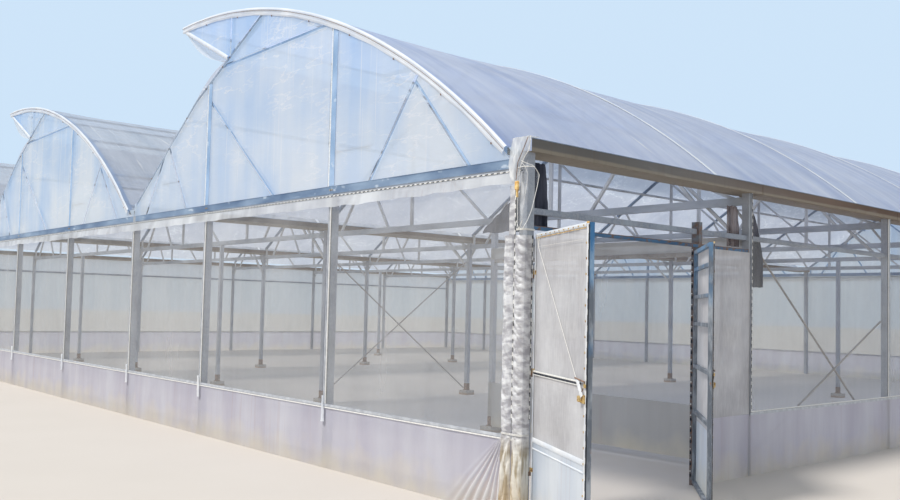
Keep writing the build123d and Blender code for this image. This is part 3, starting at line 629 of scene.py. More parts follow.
def crinkled_sheeting():
    """Thick crumpled white film with painted grey shade in its creases, in long dirty folds at the foot
    with painted shade between them.
    """
    n = Nodes("crinkled_sheeting")
    creases = n.noise(9.0, stretch=(1.0, 1.0, 2.2), detail=4.0, roughness=0.5, turn=(0.0, 0.6, 0.0))
    folds = n.span(creases, 0.40, 0.60)
    # Painted shade: grey where the creases fall
    colour = n.mix(folds, (0.50, 0.49, 0.52), (0.90, 0.90, 0.91))
    # Below the tie: cream dirt on the folds and painted shade between them
    drapes = n.patches(0.42, 0.58, 9.0, stretch=(2.6, 2.6, 0.4), detail=3.0, turn=(0.0, 0.5, 0.0))
    dirty = n.mix(drapes, (0.50, 0.42, 0.30), (0.93, 0.90, 0.82))
    colour = n.mix(n.span(n.height(), 0.62, 0.80, 1.0, 0.0), colour, dirty)
    foot = n.span(n.height(), 0.05, 0.45, 0.7, 0.0)
    colour = n.mix(foot, colour, (0.62, 0.46, 0.26))
    normal = n.bump(folds, 0.006, 0.5)
    return n.film(colour, 0.96, 0.30, 0.34, normal)


def clean_sheeting():
    """New white film of hems, valances and straps, hardly creased."""
    n = Nodes("clean_sheeting")
    folds = n.noise(2.5, stretch=(1.0, 1.0, 0.6), detail=4.0)
    colour = n.mix(n.span(folds, 0.35, 0.65), (0.80, 0.84, 0.90), (0.95, 0.96, 0.97))
    fine = n.noise(14.0, detail=4.0)
    normal = n.bump(folds, 0.02, 0.5)
    normal = n.bump(fine, 0.003, 0.4, normal)
    return n.film(colour, 0.97, 0.30, 0.38, normal)


def gathered_sheeting(name, dark, pale, clear, dense):
    """Thin film gathered in folds, milky where it lies double."""
    n = Nodes(name)
    folds = n.noise(14.0, stretch=(1.0, 1.0, 0.25), detail=4.0, turn=(0.0, 0.3, 0.0))
    colour = n.mix(n.span(folds, 0.38, 0.62), dark, pale)
    opacity = n.span(folds, 0.46, 0.66, clear, dense)
    return n.film(colour, opacity, 0.3, 0.18, n.bump(folds, 0.01, 0.7), 0.6)


def shade_netting():
    """Dark woven shade cloth with faded folds; the length inside the second post is brown."""
    n = Nodes("shade_netting")
    faded = n.patches(0.35, 0.7, 6.0, stretch=(1.5, 1.5, 0.3), detail=5.0)
    blue = n.mix(faded, (0.030, 0.036, 0.058), (0.095, 0.100, 0.135))
    pleats = n.patches(0.42, 0.58, 9.0, stretch=(1.0, 3.0, 0.1), detail=3.0)
    brown = n.mix(pleats, (0.13, 0.10, 0.10), (0.34, 0.29, 0.29))
    past_low = n.span(n.along("Y"), 3.60, 3.62)
    below_high = n.span(n.along("Y"), 3.97, 3.99, 1.0, 0.0)
    inner = n.times(past_low, below_high)
    warp = n.add("TexWave", {"bands_direction": "Z"}, Vector=n.place(), Scale=70.0)
    normal = n.bump(warp.outputs["Fac"], 0.001, 0.5)
    opacity = n.span(inner, 0.0, 1.0, 0.94, 0.72)
    return n.film(n.mix(inner, blue, brown), opacity, 0.12, 0.85, normal, 0.2)


def strip_metal():
    """Pale aluminium lock profile with grey oxide."""
    n = Nodes("strip_metal")
    oxide = n.patches(0.35, 0.7, 12.0, stretch=(1, 1, 1), detail=5.0)
    colour = n.mix(oxide, (0.40, 0.42, 0.46), (0.60, 0.62, 0.66))
    return n.solid(colour, n.span(oxide, 0, 1, 0.35, 0.55), 0.2, n.bump(oxide, 0.001, 0.3))


def slot_shadow():
    """Painted shade inside a lock profile's slot and groove, with dirt in small patches."""
    n = Nodes("slot_shadow")
    dirt = n.patches(0.3, 0.7, 25.0, detail=5.0)
    colour = n.mix(dirt, (0.012, 0.016, 0.025), (0.055, 0.060, 0.075))
    return n.solid(colour, 0.7, 0.0, n.bump(dirt, 0.001, 0.4), 0.3)


def tucked_film():
    """Bits of white film caught in the slot."""
    n = Nodes("tucked_film")
    folds = n.noise(60.0, detail=3.0)
    colour = n.mix(n.span(folds, 0.3, 0.7), (0.66, 0.64, 0.60), (0.90, 0.90, 0.88))
    return n.solid(colour, 0.5, 0.0, n.bump(folds, 0.003, 0.6))


def door_frame_paint():
    """Dark blue paint of the header with rust along its edges, and a rusty brown jamb."""
    n = Nodes("door_frame_paint")
    patches = n.noise(14.0, detail=7.0, roughness=0.65)
    blue = n.mix(n.noise(3.0), (0.025, 0.075, 0.16), (0.08, 0.19, 0.33))
    rust = n.mix(n.noise(22.0, detail=6.0), (0.05, 0.035, 0.03), (0.26, 0.15, 0.10))
    jamb = n.mix(n.span(patches, 0.40, 0.60), (0.15, 0.17, 0.20), rust)
    edge = n.span(n.maths("ADD", n.height(), n.times(patches, 0.03)), 2.833, 2.840)
    header = n.mix(n.maths("MAXIMUM", edge, n.span(patches, 0.54, 0.60)), blue, rust)
    on_jamb = n.span(n.along("Y"), 2.84, 2.85)
    on_jamb = n.times(on_jamb, n.span(n.along("Y"), 2.94, 2.95, 1.0, 0.0))
    colour = n.mix(on_jamb, header, jamb)
    return n.solid(colour, 0.65, 0.0, n.bump(patches, 0.002, 0.6))


def rust_brown():
    """Bare steel under a brown crust."""
    n = Nodes("rust_brown")
    crust = n.noise(26.0, detail=7.0, roughness=0.65)
    colour = n.mix(n.span(crust, 0.38, 0.62), (0.12, 0.085, 0.07), (0.32, 0.20, 0.14))
    return n.solid(colour, 0.85, 0.0, n.bump(crust, 0.002, 0.7))


def leaf_paint(name, blue, worn_height):
    """Blue paint of the door tubes, worn to grey zinc below a height, with rust at joints."""
    n = Nodes(name)
    ragged = n.maths("ADD", n.height(), n.span(n.noise(3.0, detail=6.0), 0.3, 0.7, -0.5, 0.5))
    painted = n.span(ragged, worn_height - 0.25, worn_height + 0.25)
    wear = n.patches(0.46, 0.62, 9.0, stretch=(1, 1, 0.3), detail=6.0, roughness=0.65)
    zinc_tone = n.mix(wear, (0.12, 0.14, 0.17), (0.34, 0.37, 0.41))
    paint = n.mix(wear, blue, (0.26, 0.38, 0.52))
    colour = n.mix(painted, zinc_tone, paint)
    rust = n.patches(0.66, 0.72, 12.0, detail=7.0, roughness=0.7)
    colour = n.tint(colour, rust, 0.85, (0.28, 0.13, 0.05))
    return n.solid(colour, n.span(wear, 0, 1, 0.45, 0.6), 0.1, n.bump(wear, 0.0008, 0.5))


def yellow_zinc():
    """Yellow passivated zinc of the latches, browned with rust."""
    n = Nodes("yellow_zinc")
    rust = n.patches(0.45, 0.62, 40.0, detail=6.0, roughness=0.7)
    colour = n.mix(rust, (0.62, 0.45, 0.18), (0.26, 0.12, 0.05))
    return n.solid(colour, n.span(rust, 0, 1, 0.4, 0.8), 0.4, n.bump(rust, 0.001, 0.5))


def rag_cloth():
    """Faded yellow-orange rag."""
    n = Nodes("rag_cloth")
    folds = n.noise(30.0, detail=4.0)
    colour = n.mix(n.span(folds, 0.35, 0.65), (0.62, 0.34, 0.10), (0.90, 0.66, 0.30))
    return n.solid(colour, 0.85, 0.0, n.bump(folds, 0.004, 0.7), 0.2)


def twine_fibre():
    """White polypropylene twine, dusty."""
    n = Nodes("twine_fibre")
    fibres = n.noise(300.0, stretch=(1, 1, 0.3), detail=2.0)
    colour = n.mix(n.span(fibres, 0.3, 0.7), (0.62, 0.60, 0.55), (0.86, 0.85, 0.82))
    return n.solid(colour, 0.8, 0.0, n.bump(fibres, 0.001, 0.6), 0.2)


finishes = {
    "post": zinc("post_zinc", (0.42, 0.44, 0.48), (0.26, 0.28, 0.32)),
    "chord": gable_zinc(
        "chord_zinc",
        ((0.09, 0.15, 0.26), (0.25, 0.34, 0.47)),
        ((0.26, 0.28, 0.31), (0.42, 0.44, 0.47)),
        (0.5, 1, 1.5),
    ),
    "inner_chord": zinc("girt_zinc", (0.30, 0.33, 0.38), (0.18, 0.20, 0.25)),
    "truss": gable_zinc(
        "truss_zinc",
        ((0.20, 0.33, 0.52), (0.36, 0.50, 0.70)),
        ((0.40, 0.40, 0.40), (0.58, 0.58, 0.58)),
        (1, 1, 1),
    ),
    "rafter": zinc("rafter_zinc", (0.22, 0.29, 0.39), (0.10, 0.14, 0.21), 0.10),
    "brown_tube": zinc("brown_tube", (0.36, 0.32, 0.28), (0.24, 0.20, 0.17), 0.5),
    "gutter": gutter_sheet(),
    "concrete": cast_concrete(),
    "roof": roof_sheeting("roof_sheeting", (0.72, 0.77, 0.91), (0.50, 0.58, 0.80), 0.92, 0.97),
    "old_roof": roof_sheeting("old_sheeting", (0.66, 0.70, 0.78), (0.48, 0.53, 0.63), 0.60, 0.76),
    "gable": clear_film("gable_sheeting", True, (0.50, 0.69, 0.95), (0.86, 0.91, 0.95), 0.82, 0.90),
    "slope": clear_film("slope_sheeting", False, (0.54, 0.56, 0.64), (0.70, 0.71, 0.76), 0.86, 0.95),
    "net": insect_netting("insect_netting", 0.25, (0.78, 0.77, 0.75)),
    "far_net": insect_netting("far_netting", 0.76, (0.74, 0.72, 0.68)),
    "haze": insect_netting("top_band_film", 0.21, (0.52, 0.50, 0.53)),
    "far_haze": insect_netting("far_band_film", 0.74, (0.72, 0.70, 0.69)),
    "vent_net": insect_netting("vent_netting", 0.62, (0.92, 0.93, 0.94)),
    "door_net": door_netting(),
    "leaf_film": skirt_sheeting("leaf_sheeting", (0.58, 0.65, 0.76), (0.80, 0.84, 0.88), 0.84, 0.90),
    "skirt": skirt_sheeting("skirt_sheeting", (0.54, 0.51, 0.60), (0.68, 0.67, 0.73), 0.82, 0.88),
    "partition": skirt_sheeting("partition_sheeting", (0.50, 0.48, 0.45), (0.58, 0.56, 0.53), 0.90, 0.94),
    "valance": skirt_sheeting("valance_sheeting", (0.62, 0.63, 0.66), (0.86, 0.88, 0.90), 0.60, 0.92),
    "crinkled": crinkled_sheeting(),
    "clean": clean_sheeting(),
    "clear": gathered_sheeting("clear_sheeting", (0.42, 0.47, 0.56), (0.90, 0.92, 0.95), 0.08, 0.55),
    "milky": gathered_sheeting("milky_sheeting", (0.60, 0.62, 0.66), (0.95, 0.95, 0.95), 0.62, 0.95),
    "shade": shade_netting(),
    "strip": strip_metal(),
    "slot": slot_shadow(),
    "tuck": tucked_film(),
    "header": door_frame_paint(),
    "rust": rust_brown(),
    "rag": rag_cloth(),
    "leaf": leaf_paint("left_leaf_paint", (0.04, 0.15, 0.32), 2.1),
    "pale_leaf": leaf_paint("right_leaf_paint", (0.10, 0.24, 0.42), 2.5),
    "yellow": yellow_zinc(),
    "twine": twine_fibre(),
}

# Finishes of the frame's own nodes, which stay as they are
node_finishes = {
    "post": ("gable_posts", "gutter_end_posts", "side_posts", "valley_posts", "mid_posts"),
    "chord": ("bottom_chords",),
    "inner_chord": ("side_girts",),
    "truss": ("arches", "upright_struts", "truss_braces", "nose_frames", "purlins", "knee_braces"),
    "rafter": ("rafters",),
    "brown_tube": ("wind_braces", "partition_rails"),
    "gutter": ("gutters",),
    "concrete": ("footings",),
    "strip": ("gable_lock_strips", "side_lock_strips"),
    "header": ("door_frame",),
    "rust": ("hinge_pintles",),
    "leaf": ("left_leaf_frame",),
    "pale_leaf": ("right_leaf_frame",),
    "yellow": ("left_leaf_latch", "right_leaf_latch", "left_leaf_hinges", "right_leaf_hinges"),
}
for finish, names in node_finishes.items():
    for name in names:
        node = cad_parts[name]
        node.data.materials.clear()
        node.data.materials.append(finishes[finish])


# Roof films, one from each gutter over the crest to the nose
roof_sag = 0.045
roof_edge_y = strip_out
film_lift = 0.004
roof_turns = (arch_turn(-0.232), arch_turn(nose_purlin_x))
roof_columns = 60
roof_rows = 192


def roof_point(start_x):
    def place(u, v):
        turn = between(*roof_turns, u)
        y = -roof_edge_y + v * (length + 2 * roof_edge_y)
        hang = wave(share_between(y, frame_lines)) ** 0.8 * wave(0.08 + 0.84 * u) ** 0.5
        fold = rough(turn * 3.0, y * 0.9 + turn * 6.0, 0.0, start_x) * 0.010
        fold += rough(turn * 9.0, y * 2.6 - turn * 9.0, 0.0, start_x + 7) * 0.005
        held = min(1.0, 0.25 + hang)
        x, z = arch_point(turn, film_lift - roof_sag * hang + fold * held)
        return Vector((start_x + x, y, z))

    return place


for number, start_x in enumerate(span_starts):
    make_cloth(
        f"roof_sheet_{number + 1}",
        [(roof_columns, roof_rows, roof_point(start_x), (0, 0, 1))],
        finishes["roof" if start_x == 0 else "old_roof"],
        "roof_film",
        "stretched",
        ["arches", "purlins"],
        stands_for=[f"span_{number + 1}_roof_film"],
    )

# White clamping straps over the roof films, one along each inner arch
strap_width = 0.055
strap_lift = 0.014


def strap_points(start_x, middle_y, lift):
    def place(u, v):
        turn = between(*roof_turns, u)
        x, z = arch_point(turn, lift)
        return Vector((start_x + x, middle_y + (v - 0.5) * strap_width, z))

    return place


bm = bmesh.new()
for start_x in span_starts:
    for y in inner_frames:
        faces = cloth_grid(bm, 36, 1, strap_points(start_x, y, strap_lift), (0, 0, 1))
        bmesh.ops.solidify(bm, geom=faces, thickness=0.006)
make_piece("roof_straps", bm, finishes["clean"], "lock_strip")

# The roof film's thick folded edge, locked along both gable arches and nose braces
hem_reach = 0.11
hem_puff = 0.030


def hem_points(start_x, wall_y, outward):
    def place(u, v):
        turn = between(*roof_turns, u)
        pucker = rough(turn * 28.0, v * 2.0, start_x) * 0.007
        lift = 0.014 - v * (hem_reach + 1.2 * pucker)
        x, z = arch_point(turn, lift)
        puff = hem_puff * (0.35 + 0.65 * abs(sin(2 * pi * v))) * (1 - 0.6 * v) + pucker
        return Vector((start_x + x, wall_y + outward * puff, z))

    return place


for side, wall_y, outward in end_walls(strip_out):
    for number, start_x in enumerate(span_starts):
        make_cloth(
            f"{side}_roof_hem_{number + 1}",
            [(180, 12, hem_points(start_x, wall_y, outward), (0, outward, 0))],
            finishes["clean"],
            "roof_film",
            "stretched",
            ["arches"],
        )

# Nose braces of the gables, wrapped in white film
nose_low = Vector((vent_foot_x, 0, rafter_height(vent_foot_x) + rafter_half))
nose_high = Vector((nose_x + 0.03, 0, arch_height(nose_x, -arch_depth) - 0.02))


def sleeve_points(start_x, wall_y, outward):
    def place(u, v):
        middle = nose_low.lerp(nose_high, u)
        pucker = rough(u * 30.0, v * 2.0, start_x + 3) * 0.005
        across = (v - 0.5) * 0.075
        slope = (nose_high - nose_low).normalized()
        puff = 0.022 * wave(v) ** 0.5 + pucker
        return Vector((
            start_x + middle.x - slope.z * across,
            wall_y + outward * puff,
            middle.z + slope.x * across,
        ))

    return place


for side, wall_y, outward in end_walls(sheet_out):
    grids = [(60, 6, sleeve_points(x, wall_y, outward), (0, outward, 0)) for x in span_starts]
    make_cloth(
        f"{side}_nose_sleeves",
        grids,
        finishes["clean"],
        "roof_film",
        "gathered",
        ["nose_frames"],
    )

# Slope films on the steep side, bulging a little under the vent
slope_lift = rafter_half + 0.005
slope_top_x = vent_foot_x - 0.04


def slope_point(start_x):
    def place(u, v):
        x = rafter_foot[0] + u * (slope_top_x - rafter_foot[0])
        y = -sheet_out + v * (length + 2 * sheet_out)
        upper = max(0.0, (x - rafter_knee_x) / (slope_top_x - rafter_knee_x))
        hang = wave(share_between(y, frame_lines))
        bulge = 0.075 * wave(upper) + 0.02 * hang
        bulge += rough(u * 5.0, y * 1.3, 0.0, start_x + 2) * 0.012
        z = rafter_height(x) + slope_lift + bulge * 0.86
        return Vector((start_x + x - bulge * 0.5, y, z))

    return place


# Vent nets, sagging from the nose to the slope film
vent_top = (nose_purlin_x + 0.02, arch_height(nose_x - 0.04) - 0.045)
vent_low = (vent_foot_x - 0.08, rafter_height(vent_foot_x - 0.08) + 0.04)
vent_sag = 0.14
vent_slack = 1.05


def vent_point(start_x):
    def place(u, v):
        y = -sheet_out + v * (length + 2 * sheet_out)
        hang = vent_sag * wave(u) + 0.05 * wave(u) * wave(share_between(y, frame_lines))
        hang += rough(u * 3.0, y * 1.5, 0.0, start_x + 5) * 0.02 * wave(u)
        x = between(vent_top[0], vent_low[0], u) - 0.5 * hang
        z = between(vent_top[1], vent_low[1], u) - hang
        return Vector((start_x + x, y, z))

    return place


def distance(start, end):
    return sqrt((end[0] - start[0]) ** 2 + (end[1] - start[1]) ** 2)


slope_run = distance(rafter_foot, (slope_top_x, rafter_height(slope_top_x)))
vent_run = distance(vent_top, vent_low)
span_sheets = (
    (
        "slope_sheet", 30, slope_point, (-1, 0, 1), "slope", "roof_film",
        slope_run, "stretched", ["rafters"], "slope_films",
    ),
    (
        "vent_net", 16, vent_point, (-1, 0, -1), "vent_net", "insect_net",
        vent_run * vent_slack, "hung", ["nose_frames", "purlins"], "vent_nets",
    ),
)
for name, columns, point, facing, finish, slot, run, held, rests_on, node_name in span_sheets:
    for number, start_x in enumerate(span_starts):
        make_cloth(
            f"{name}_{number + 1}",
            [(columns, 144, point(start_x), facing)],
            finishes[finish],
            slot,
            held,
            rests_on,
            stands_for=[node_name],
        )


# Gable films, cut from the frame's own panels so that they follow arch and rafter
def panel_of(node_name, facing, low_x, high_x, low_z):
    """The outer face of one span's panel, cut into a mesh fine enough to fold."""
    bm = bmesh.new()
    bm.from_mesh(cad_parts[node_name].data)
    facing = Vector(facing)
    bmesh.ops.remove_doubles(bm, verts=bm.verts[:], dist=0.0002)
    bm.normal_update()
    unwanted = [
        face
        for face in bm.faces
        if face.normal.dot(facing) < 0.9
        or not low_x < face.calc_center_median().x < high_x
    ]
    bmesh.ops.delete(bm, geom=unwanted, context="FACES")
    bmesh.ops.dissolve_limit(bm, angle_limit=0.02, verts=bm.verts[:], edges=bm.edges[:])
    step = 0.16
    for axis, low, high in ((0, low_x, high_x), (2, low_z, crest_z)):
        cut = low + step
        normal = Vector((1, 0, 0)) if axis == 0 else Vector((0, 0, 1))
        while cut < high:
            geom = bm.verts[:] + bm.edges[:] + bm.faces[:]
            bmesh.ops.bisect_plane(bm, geom=geom, plane_co=normal * cut, plane_no=normal)
            cut += step
    geom = bm.verts[:] + bm.edges[:] + bm.faces[:]
    bmesh.ops.bisect_plane(
        bm, geom=geom, plane_co=(0, 0, low_z), plane_no=(0, 0, 1), clear_inner=True
    )
    return bm


gable_foot = chord_top - 0.005
for side, outward in (("front", -1), ("back", 1)):
    for number, start_x in enumerate(span_starts):
        bm = panel_of(
            f"{side}_gable_films", (0, outward, 0), start_x - span, start_x, gable_foot
        )
        cut_area = sum(face.calc_area() for face in bm.faces)
        for corner in bm.verts:
            slack = wave(share_between(corner.co.x, gable_stations))
            slack *= wave(0.1 + 0.8 * (corner.co.z - gable_foot) / (crest_z - gable_foot))
            fold = 0.012 * rough(corner.co.x * 2.4, corner.co.z * 0.5, number + outward)
            fold += 0.006 * rough(corner.co.x * 6, corner.co.z * 1.2, number + 9)
            corner.co.y += outward * (0.003 + 0.010 * slack + 0.6 * fold * slack)
        piece = make_piece(
            f"{side}_gable_sheet_{number + 1}",
            bm,
            finishes["gable"],
            "roof_film",
            stands_for=[f"{side}_gable_films"],
            smooth=True,
        )


# Upright sheets of the walls, held at each post and loose between
def upright_sheet(on_wall, stations, ends, heights, slack, grain, seed, folds=None):
    """Places on a sheet: on_wall gives the point at a place along, a depth and a height."""

    def place(u, v):
        along = between(*ends, u)
        z = between(*heights, v)
        loose = wave(share_between(along, stations)) * wave(0.06 + 0.88 * v)
        fold = rough(along * grain, z * 0.35, 0.0, seed)
        fold += 0.4 * rough(along * grain * 3, z * 0.8, 0.0, seed)
        depth = slack * (loose * 0.5 + fold * loose)
        if folds:
            depth += folds(along, z)[0]
        return on_wall(along, depth, z)

    return place


def on_gable(wall_y, outward):
    return lambda x, depth, z: Vector((x, wall_y + outward * depth, z))


def on_side(wall_x, outward):
    return lambda y, depth, z: Vector((wall_x + outward * depth, y, z))


fan_width = 1.1
fan_tie = (-0.17, 0.84)
skirt_high = skirt_top - 0.002


def fan_fold(x, z):
    """Depth and crease (-1 valley, 1 ridge) of the folds that spread down from the tie."""
    away_x, away_z = fan_tie[0] - x, fan_tie[1] - z
    reach = sqrt(away_x**2 + away_z**2)
    swing = atan2(away_x, away_z)
    within = min(1.0, max(0.0, 6 * swing + 0.6)) * min(1.0, max(0.0, 4 * (0.88 - swing)))
    strength = within * min(1.0, reach / 0.10) * max(0.0, 1 - reach / 1.3) ** 0.4
    ridge = 0.5 + 0.5 * sin(54 * swing + 2.2 * rough(reach * 2.0, swing * 4, 0.0, 7.0))
    return 0.028 * strength * ridge**1.5, strength * (2 * ridge - 1)


def mark_creases(piece):
    """Notes on each vertex how far it lies on a ridge or in a valley of the fan, which the skirt's
    material turns into painted highlight and shade.
    """
    creases = piece.data.attributes.new("crease", "FLOAT", "POINT")
    creases.data.foreach_set("value", [fan_fold(v.co.x, v.co.z)[1] for v in piece.data.vertices])


wall_slack = 0.012
for side, wall_y, outward in end_walls(sheet_out):
    wall, facing = on_gable(wall_y, outward), (0, outward, 0)
    heights = (skirt_top, chord_bottom)
    net = upright_sheet(wall, gable_stations, (-width, 0), heights, wall_slack, 1.2, 1)
    make_cloth(
        f"{side}_netting",
        [(288, 20, net, facing)],
        finishes["net" if outward < 0 else "far_net"],
        "insect_net",
        "stretched",
        ["gable_posts", "bottom_chords"],
        stands_for=[f"{side}_wall_net"],
    )
    folds = fan_fold if outward < 0 else None
    grids = []
    for columns, rows, ends in ((690, 12, (-width, -fan_width)), (160, 44, (-fan_width, 0))):
        part = upright_sheet(
            wall, gable_stations, ends, (0.0, skirt_high), wall_slack, 3.5, 4, folds
        )
        grids.append((columns, rows, part, facing))
    skirting = make_cloth(
        f"{side}_skirting",
        grids,
        finishes["skirt"],
        "skirt_film",
        "stretched",
        ["gable_posts"],
        stands_for=[f"{side}_skirt"],
    )
    if outward < 0:
        mark_creases(skirting)

# Ruffled valances under the gable chords
valance_top_z = 3.348
valance_drop = 0.115


def valance_point(wall_y, outward, seed):
    def place(u, v):
        x = -width + u * width
        ruffle = rough(x * 1.6, 0.0, 0.0, seed) * 0.030 + rough(x * 5.0, v, 0.0, seed) * 0.010
        swell = 1 + 0.28 * rough(x * 0.9, 3.0, 0.0, seed) + 0.16 * rough(x * 3.5, 9.0, 0.0, seed)
        y = wall_y + outward * (0.004 + v * (0.020 + ruffle))
        return Vector((x, y, valance_top_z - v * (valance_drop * swell)))

    return place


for side, wall_y, outward in end_walls(strip_out):
    make_cloth(
        f"{side}_valance",
        [(480, 6, valance_point(wall_y, outward, outward * 3.0), (0, outward, 0))],
        finishes["valance"],
        "skirt_film",
        "hung",
        ["gable_lock_strips"],
        stands_for=["valances"],
    )


# Sheets of the side walls: finish of the seen side, weave and mesh of each band
side_bands = (
    ("netting", (skirt_top, girt_middle), "net", "insect_net", "side_wall_nets", 0.012, 1.2, 20),
    ("skirting", (0.0, skirt_high), "skirt", "skirt_film", "side_skirts", 0.012, 3.5, 12),
    (
        "top_band", (girt_middle + 0.002, gutter_seat - 0.002), "haze", "insect_net",
        "side_upper_films", 0.010, 2.0, 6,
    ),
)
side_walls = (("right", sheet_out, 1, bay), ("left", -width - sheet_out, -1, 0))
for side, wall_x, outward, start_y in side_walls:
    wall, ends = on_side(wall_x, outward), (start_y, length)
    for kind, heights, finish, slot, node_name, slack, grain, rows in side_bands:
        columns = int((length - start_y) * (24 if kind == "skirting" else 10))
        place = upright_sheet(wall, frame_lines, ends, heights, slack, grain, outward * 5.0)
        make_cloth(
            f"{side}_{kind}",
            [(columns, rows, place, (outward, 0, 0))],
            finishes[finish if outward > 0 or finish == "skirt" else f"far_{finish}"],
            slot,
            "stretched",
            ["side_posts", "side_girts"],
            stands_for=[node_name],
        )

# Fixed panel beside the door
panel_ends = (2.895, 3.99)
for kind, heights, finish, slot in (
    ("net", (skirt_top, 2.79), "door_net", "insect_net"),
    ("skirt", (0.0, skirt_high), "skirt", "skirt_film"),
):
    place = upright_sheet(on_side(sheet_out, 1), frame_lines, panel_ends, heights, 0.006, 3.0, 8.0)
    make_cloth(
        f"door_side_{kind}_sheet",
        [(44, 40, place, (1, 0, 0))],
        finishes[finish],
        slot,
        "stretched",
        ["side_posts", "door_frame"],
        stands_for=[f"door_side_{kind}"],
    )

# Partition across the first span: film band, net and skirt
partition_y = 3.958
partition_x = (-4.64, -0.0503)


def partition_sheet(low_z, high_z, seed):
    def place(u, v):
        x = between(*partition_x, u)
        z = between(low_z, high_z, v)
        fold = rough(x * 1.6, z * 0.6, 0.0, seed) + 0.4 * rough(x * 5, z, 0.0, seed)
        return Vector((x, partition_y - 0.008 * wave(u) * (1 + fold), z))

    return place


for kind, low, high, finish, slot in (
    ("film", 2.82, 3.00, "partition", "skirt_film"),
    ("net", 0.81, 2.819, "net", "insect_net"),
    ("skirt", 0.101, 0.809, "partition", "skirt_film"),
):
    make_cloth(
        f"partition_{kind}_sheet",
        [(92, 10, partition_sheet(low, high, low), (0, -1, 0))],
        finishes[finish],
        slot,
        "stretched",
        ["partition_rails", "mid_posts"],
        stands_for=[f"partition_{kind}"],
    )


# Sheets of the door leaves, laced over their frames
def leaf_sheet(side, low_z, high_z, seed):
    pin, along, outward = leaf_axes(side)
    origin = pin - outward * leaf_sheet_in

    def place(u, v):
        s = 0.005 + u * (leaf_width - 0.01)
        z = between(low_z, high_z, v)
        fold = rough(s * 2.0, z * 1.1, 0.0, seed) + 0.5 * rough(s * 6 + z * 4, z * 2, 0.0, seed)
        depth = 0.0015 + 0.006 * wave(u) * wave(v) * (0.6 + fold)
        spot = origin + along * s + outward * depth
        return Vector((spot.x, spot.y, z))

    return place, outward


for side in ("left", "right"):
    for kind, low, high, finish, slot in (
        ("net", skirt_top, leaf_top, "door_net", "insect_net"),
        ("film", leaf_foot, skirt_top - 0.001, "leaf_film", "skirt_film"),
    ):
        place, outward = leaf_sheet(side, low, high, len(side) + low)
        make_cloth(
            f"{side}_leaf_{kind}_sheet",
            [(40, 50 if kind == "net" else 20, place, outward)],
            finishes[finish],
            slot,
            "stretched",
            [f"{side}_leaf_frame"],
            body=f"{side}_leaf",
            stands_for=[f"{side}_leaf_{kind}"],
        )

# Lock strips: the dark slot along each, a block in painted shade, with white film tucked in at every wave
# of the wire
slot_width = 0.016
tuck_step = 0.085
slot_foot = skirt_top + 0.015 + 0.002
post_two_face = bay + 0.0115
up = (0, 0, 1)


def lock_line(slots, tucks, origin, along, outward, total):
    """The slot and the tucks of one strip, from its start along its run."""
    matrix = placed(origin, along, outward)
    laid_block(slots, matrix, (0, -slot_width / 2, -0.0005), (total, slot_width / 2, 0.0012))
    unit = bmesh.new()
    block(unit, (0.006, -0.0062, 0.0008), (0.046, 0.0062, 0.0052), 0.0016)
    wire = ((0.0, -0.006, 0.004), (tuck_step / 2, 0.006, 0.004), (tuck_step, -0.006, 0.004))
    bent_bar(unit, wire, 0.0013, 4)
    pour(tucks, repeated(unit, tuck_step, total), matrix)


slots, tucks = bmesh.new(), bmesh.new()
for _, wall_y, outward in end_walls(strip_out):
    lock_line(slots, tucks, (-width, wall_y, strip_line), (1, 0, 0), (0, outward, 0), width)
post_two_foot = (strip_out, post_two_face, slot_foot)
lock_line(slots, tucks, post_two_foot, up, (1, 0, 0), gutter_seat - 0.01 - slot_foot)
make_piece("strip_slots", slots, finishes["slot"], "lock_strip")
make_piece("strip_tucks", tucks, finishes["tuck"], "lock_strip")

# Plain strips elsewhere: a groove in painted shade, and the sheet's white edge that shows beside the
# strip
edge_near = 0.021
edge_width = 0.014


def white_edge(edges, matrix, total, edge_side):
    low_y, high_y = sorted((edge_side * edge_near, edge_side * (edge_near + edge_width)))
    laid_block(edges, matrix, (0, low_y, -0.0130), (total, high_y, 0.0010), 0.002)


def plain_strip(grooves, edges, foot, outward, total):
    """Groove and white edge of an upright strip on a wall that looks outward."""
    matrix = placed(foot, up, outward)
    laid_block(grooves, matrix, (0, -0.003, -0.0005), (total, 0.003, 0.0008))
    white_edge(edges, matrix, total, sum(outward))


grooves, edges = bmesh.new(), bmesh.new()
gable_run = strip_line - 0.017 - slot_foot
side_run = gutter_seat - 0.004 - slot_foot
for _, wall_y, outward in end_walls(strip_out):
    facing = (0, outward, 0)
    white_edge(edges, placed((-width, wall_y, skirt_top), (1, 0, 0), facing), width, outward)
    for start_x in span_starts:
        for offset in (*gable_post_offsets, span):
            plain_strip(grooves, edges, (start_x - offset, wall_y, slot_foot), facing, gable_run)
for wall_x, outward, start_y in ((strip_out, 1, bay), (-width - strip_out, -1, 0.0)):
    rail = placed((wall_x, start_y, skirt_top), (0, 1, 0), (outward, 0, 0))
    white_edge(edges, rail, length - start_y, outward)
    for y in inner_frames:
        if y > start_y:
            plain_strip(grooves, edges, (wall_x, y, slot_foot), (outward, 0, 0), side_run)
make_piece("strip_grooves", grooves, finishes["slot"], "lock_strip")
make_piece("sheet_edges", edges, finishes["tuck"], "lock_strip")

# White tufts of film at the skirt's rail, on each gable post
def tuft(middle_x, wall_y, outward, seed):
    def place(u, v):
        z = skirt_top - 0.20 + v * 0.32
        girth = 0.030 * (1 - 0.5 * v) * (1 + 0.5 * rough(u * 3, v * 4, 0.0, seed))
        x = middle_x + (u - 0.5) * 2 * girth
        depth = 0.012 + 0.020 * wave(u) * (1 + 0.6 * rough(u * 2, v * 6, 3.0, seed))
        return Vector((x, wall_y + outward * depth, z))

    return place


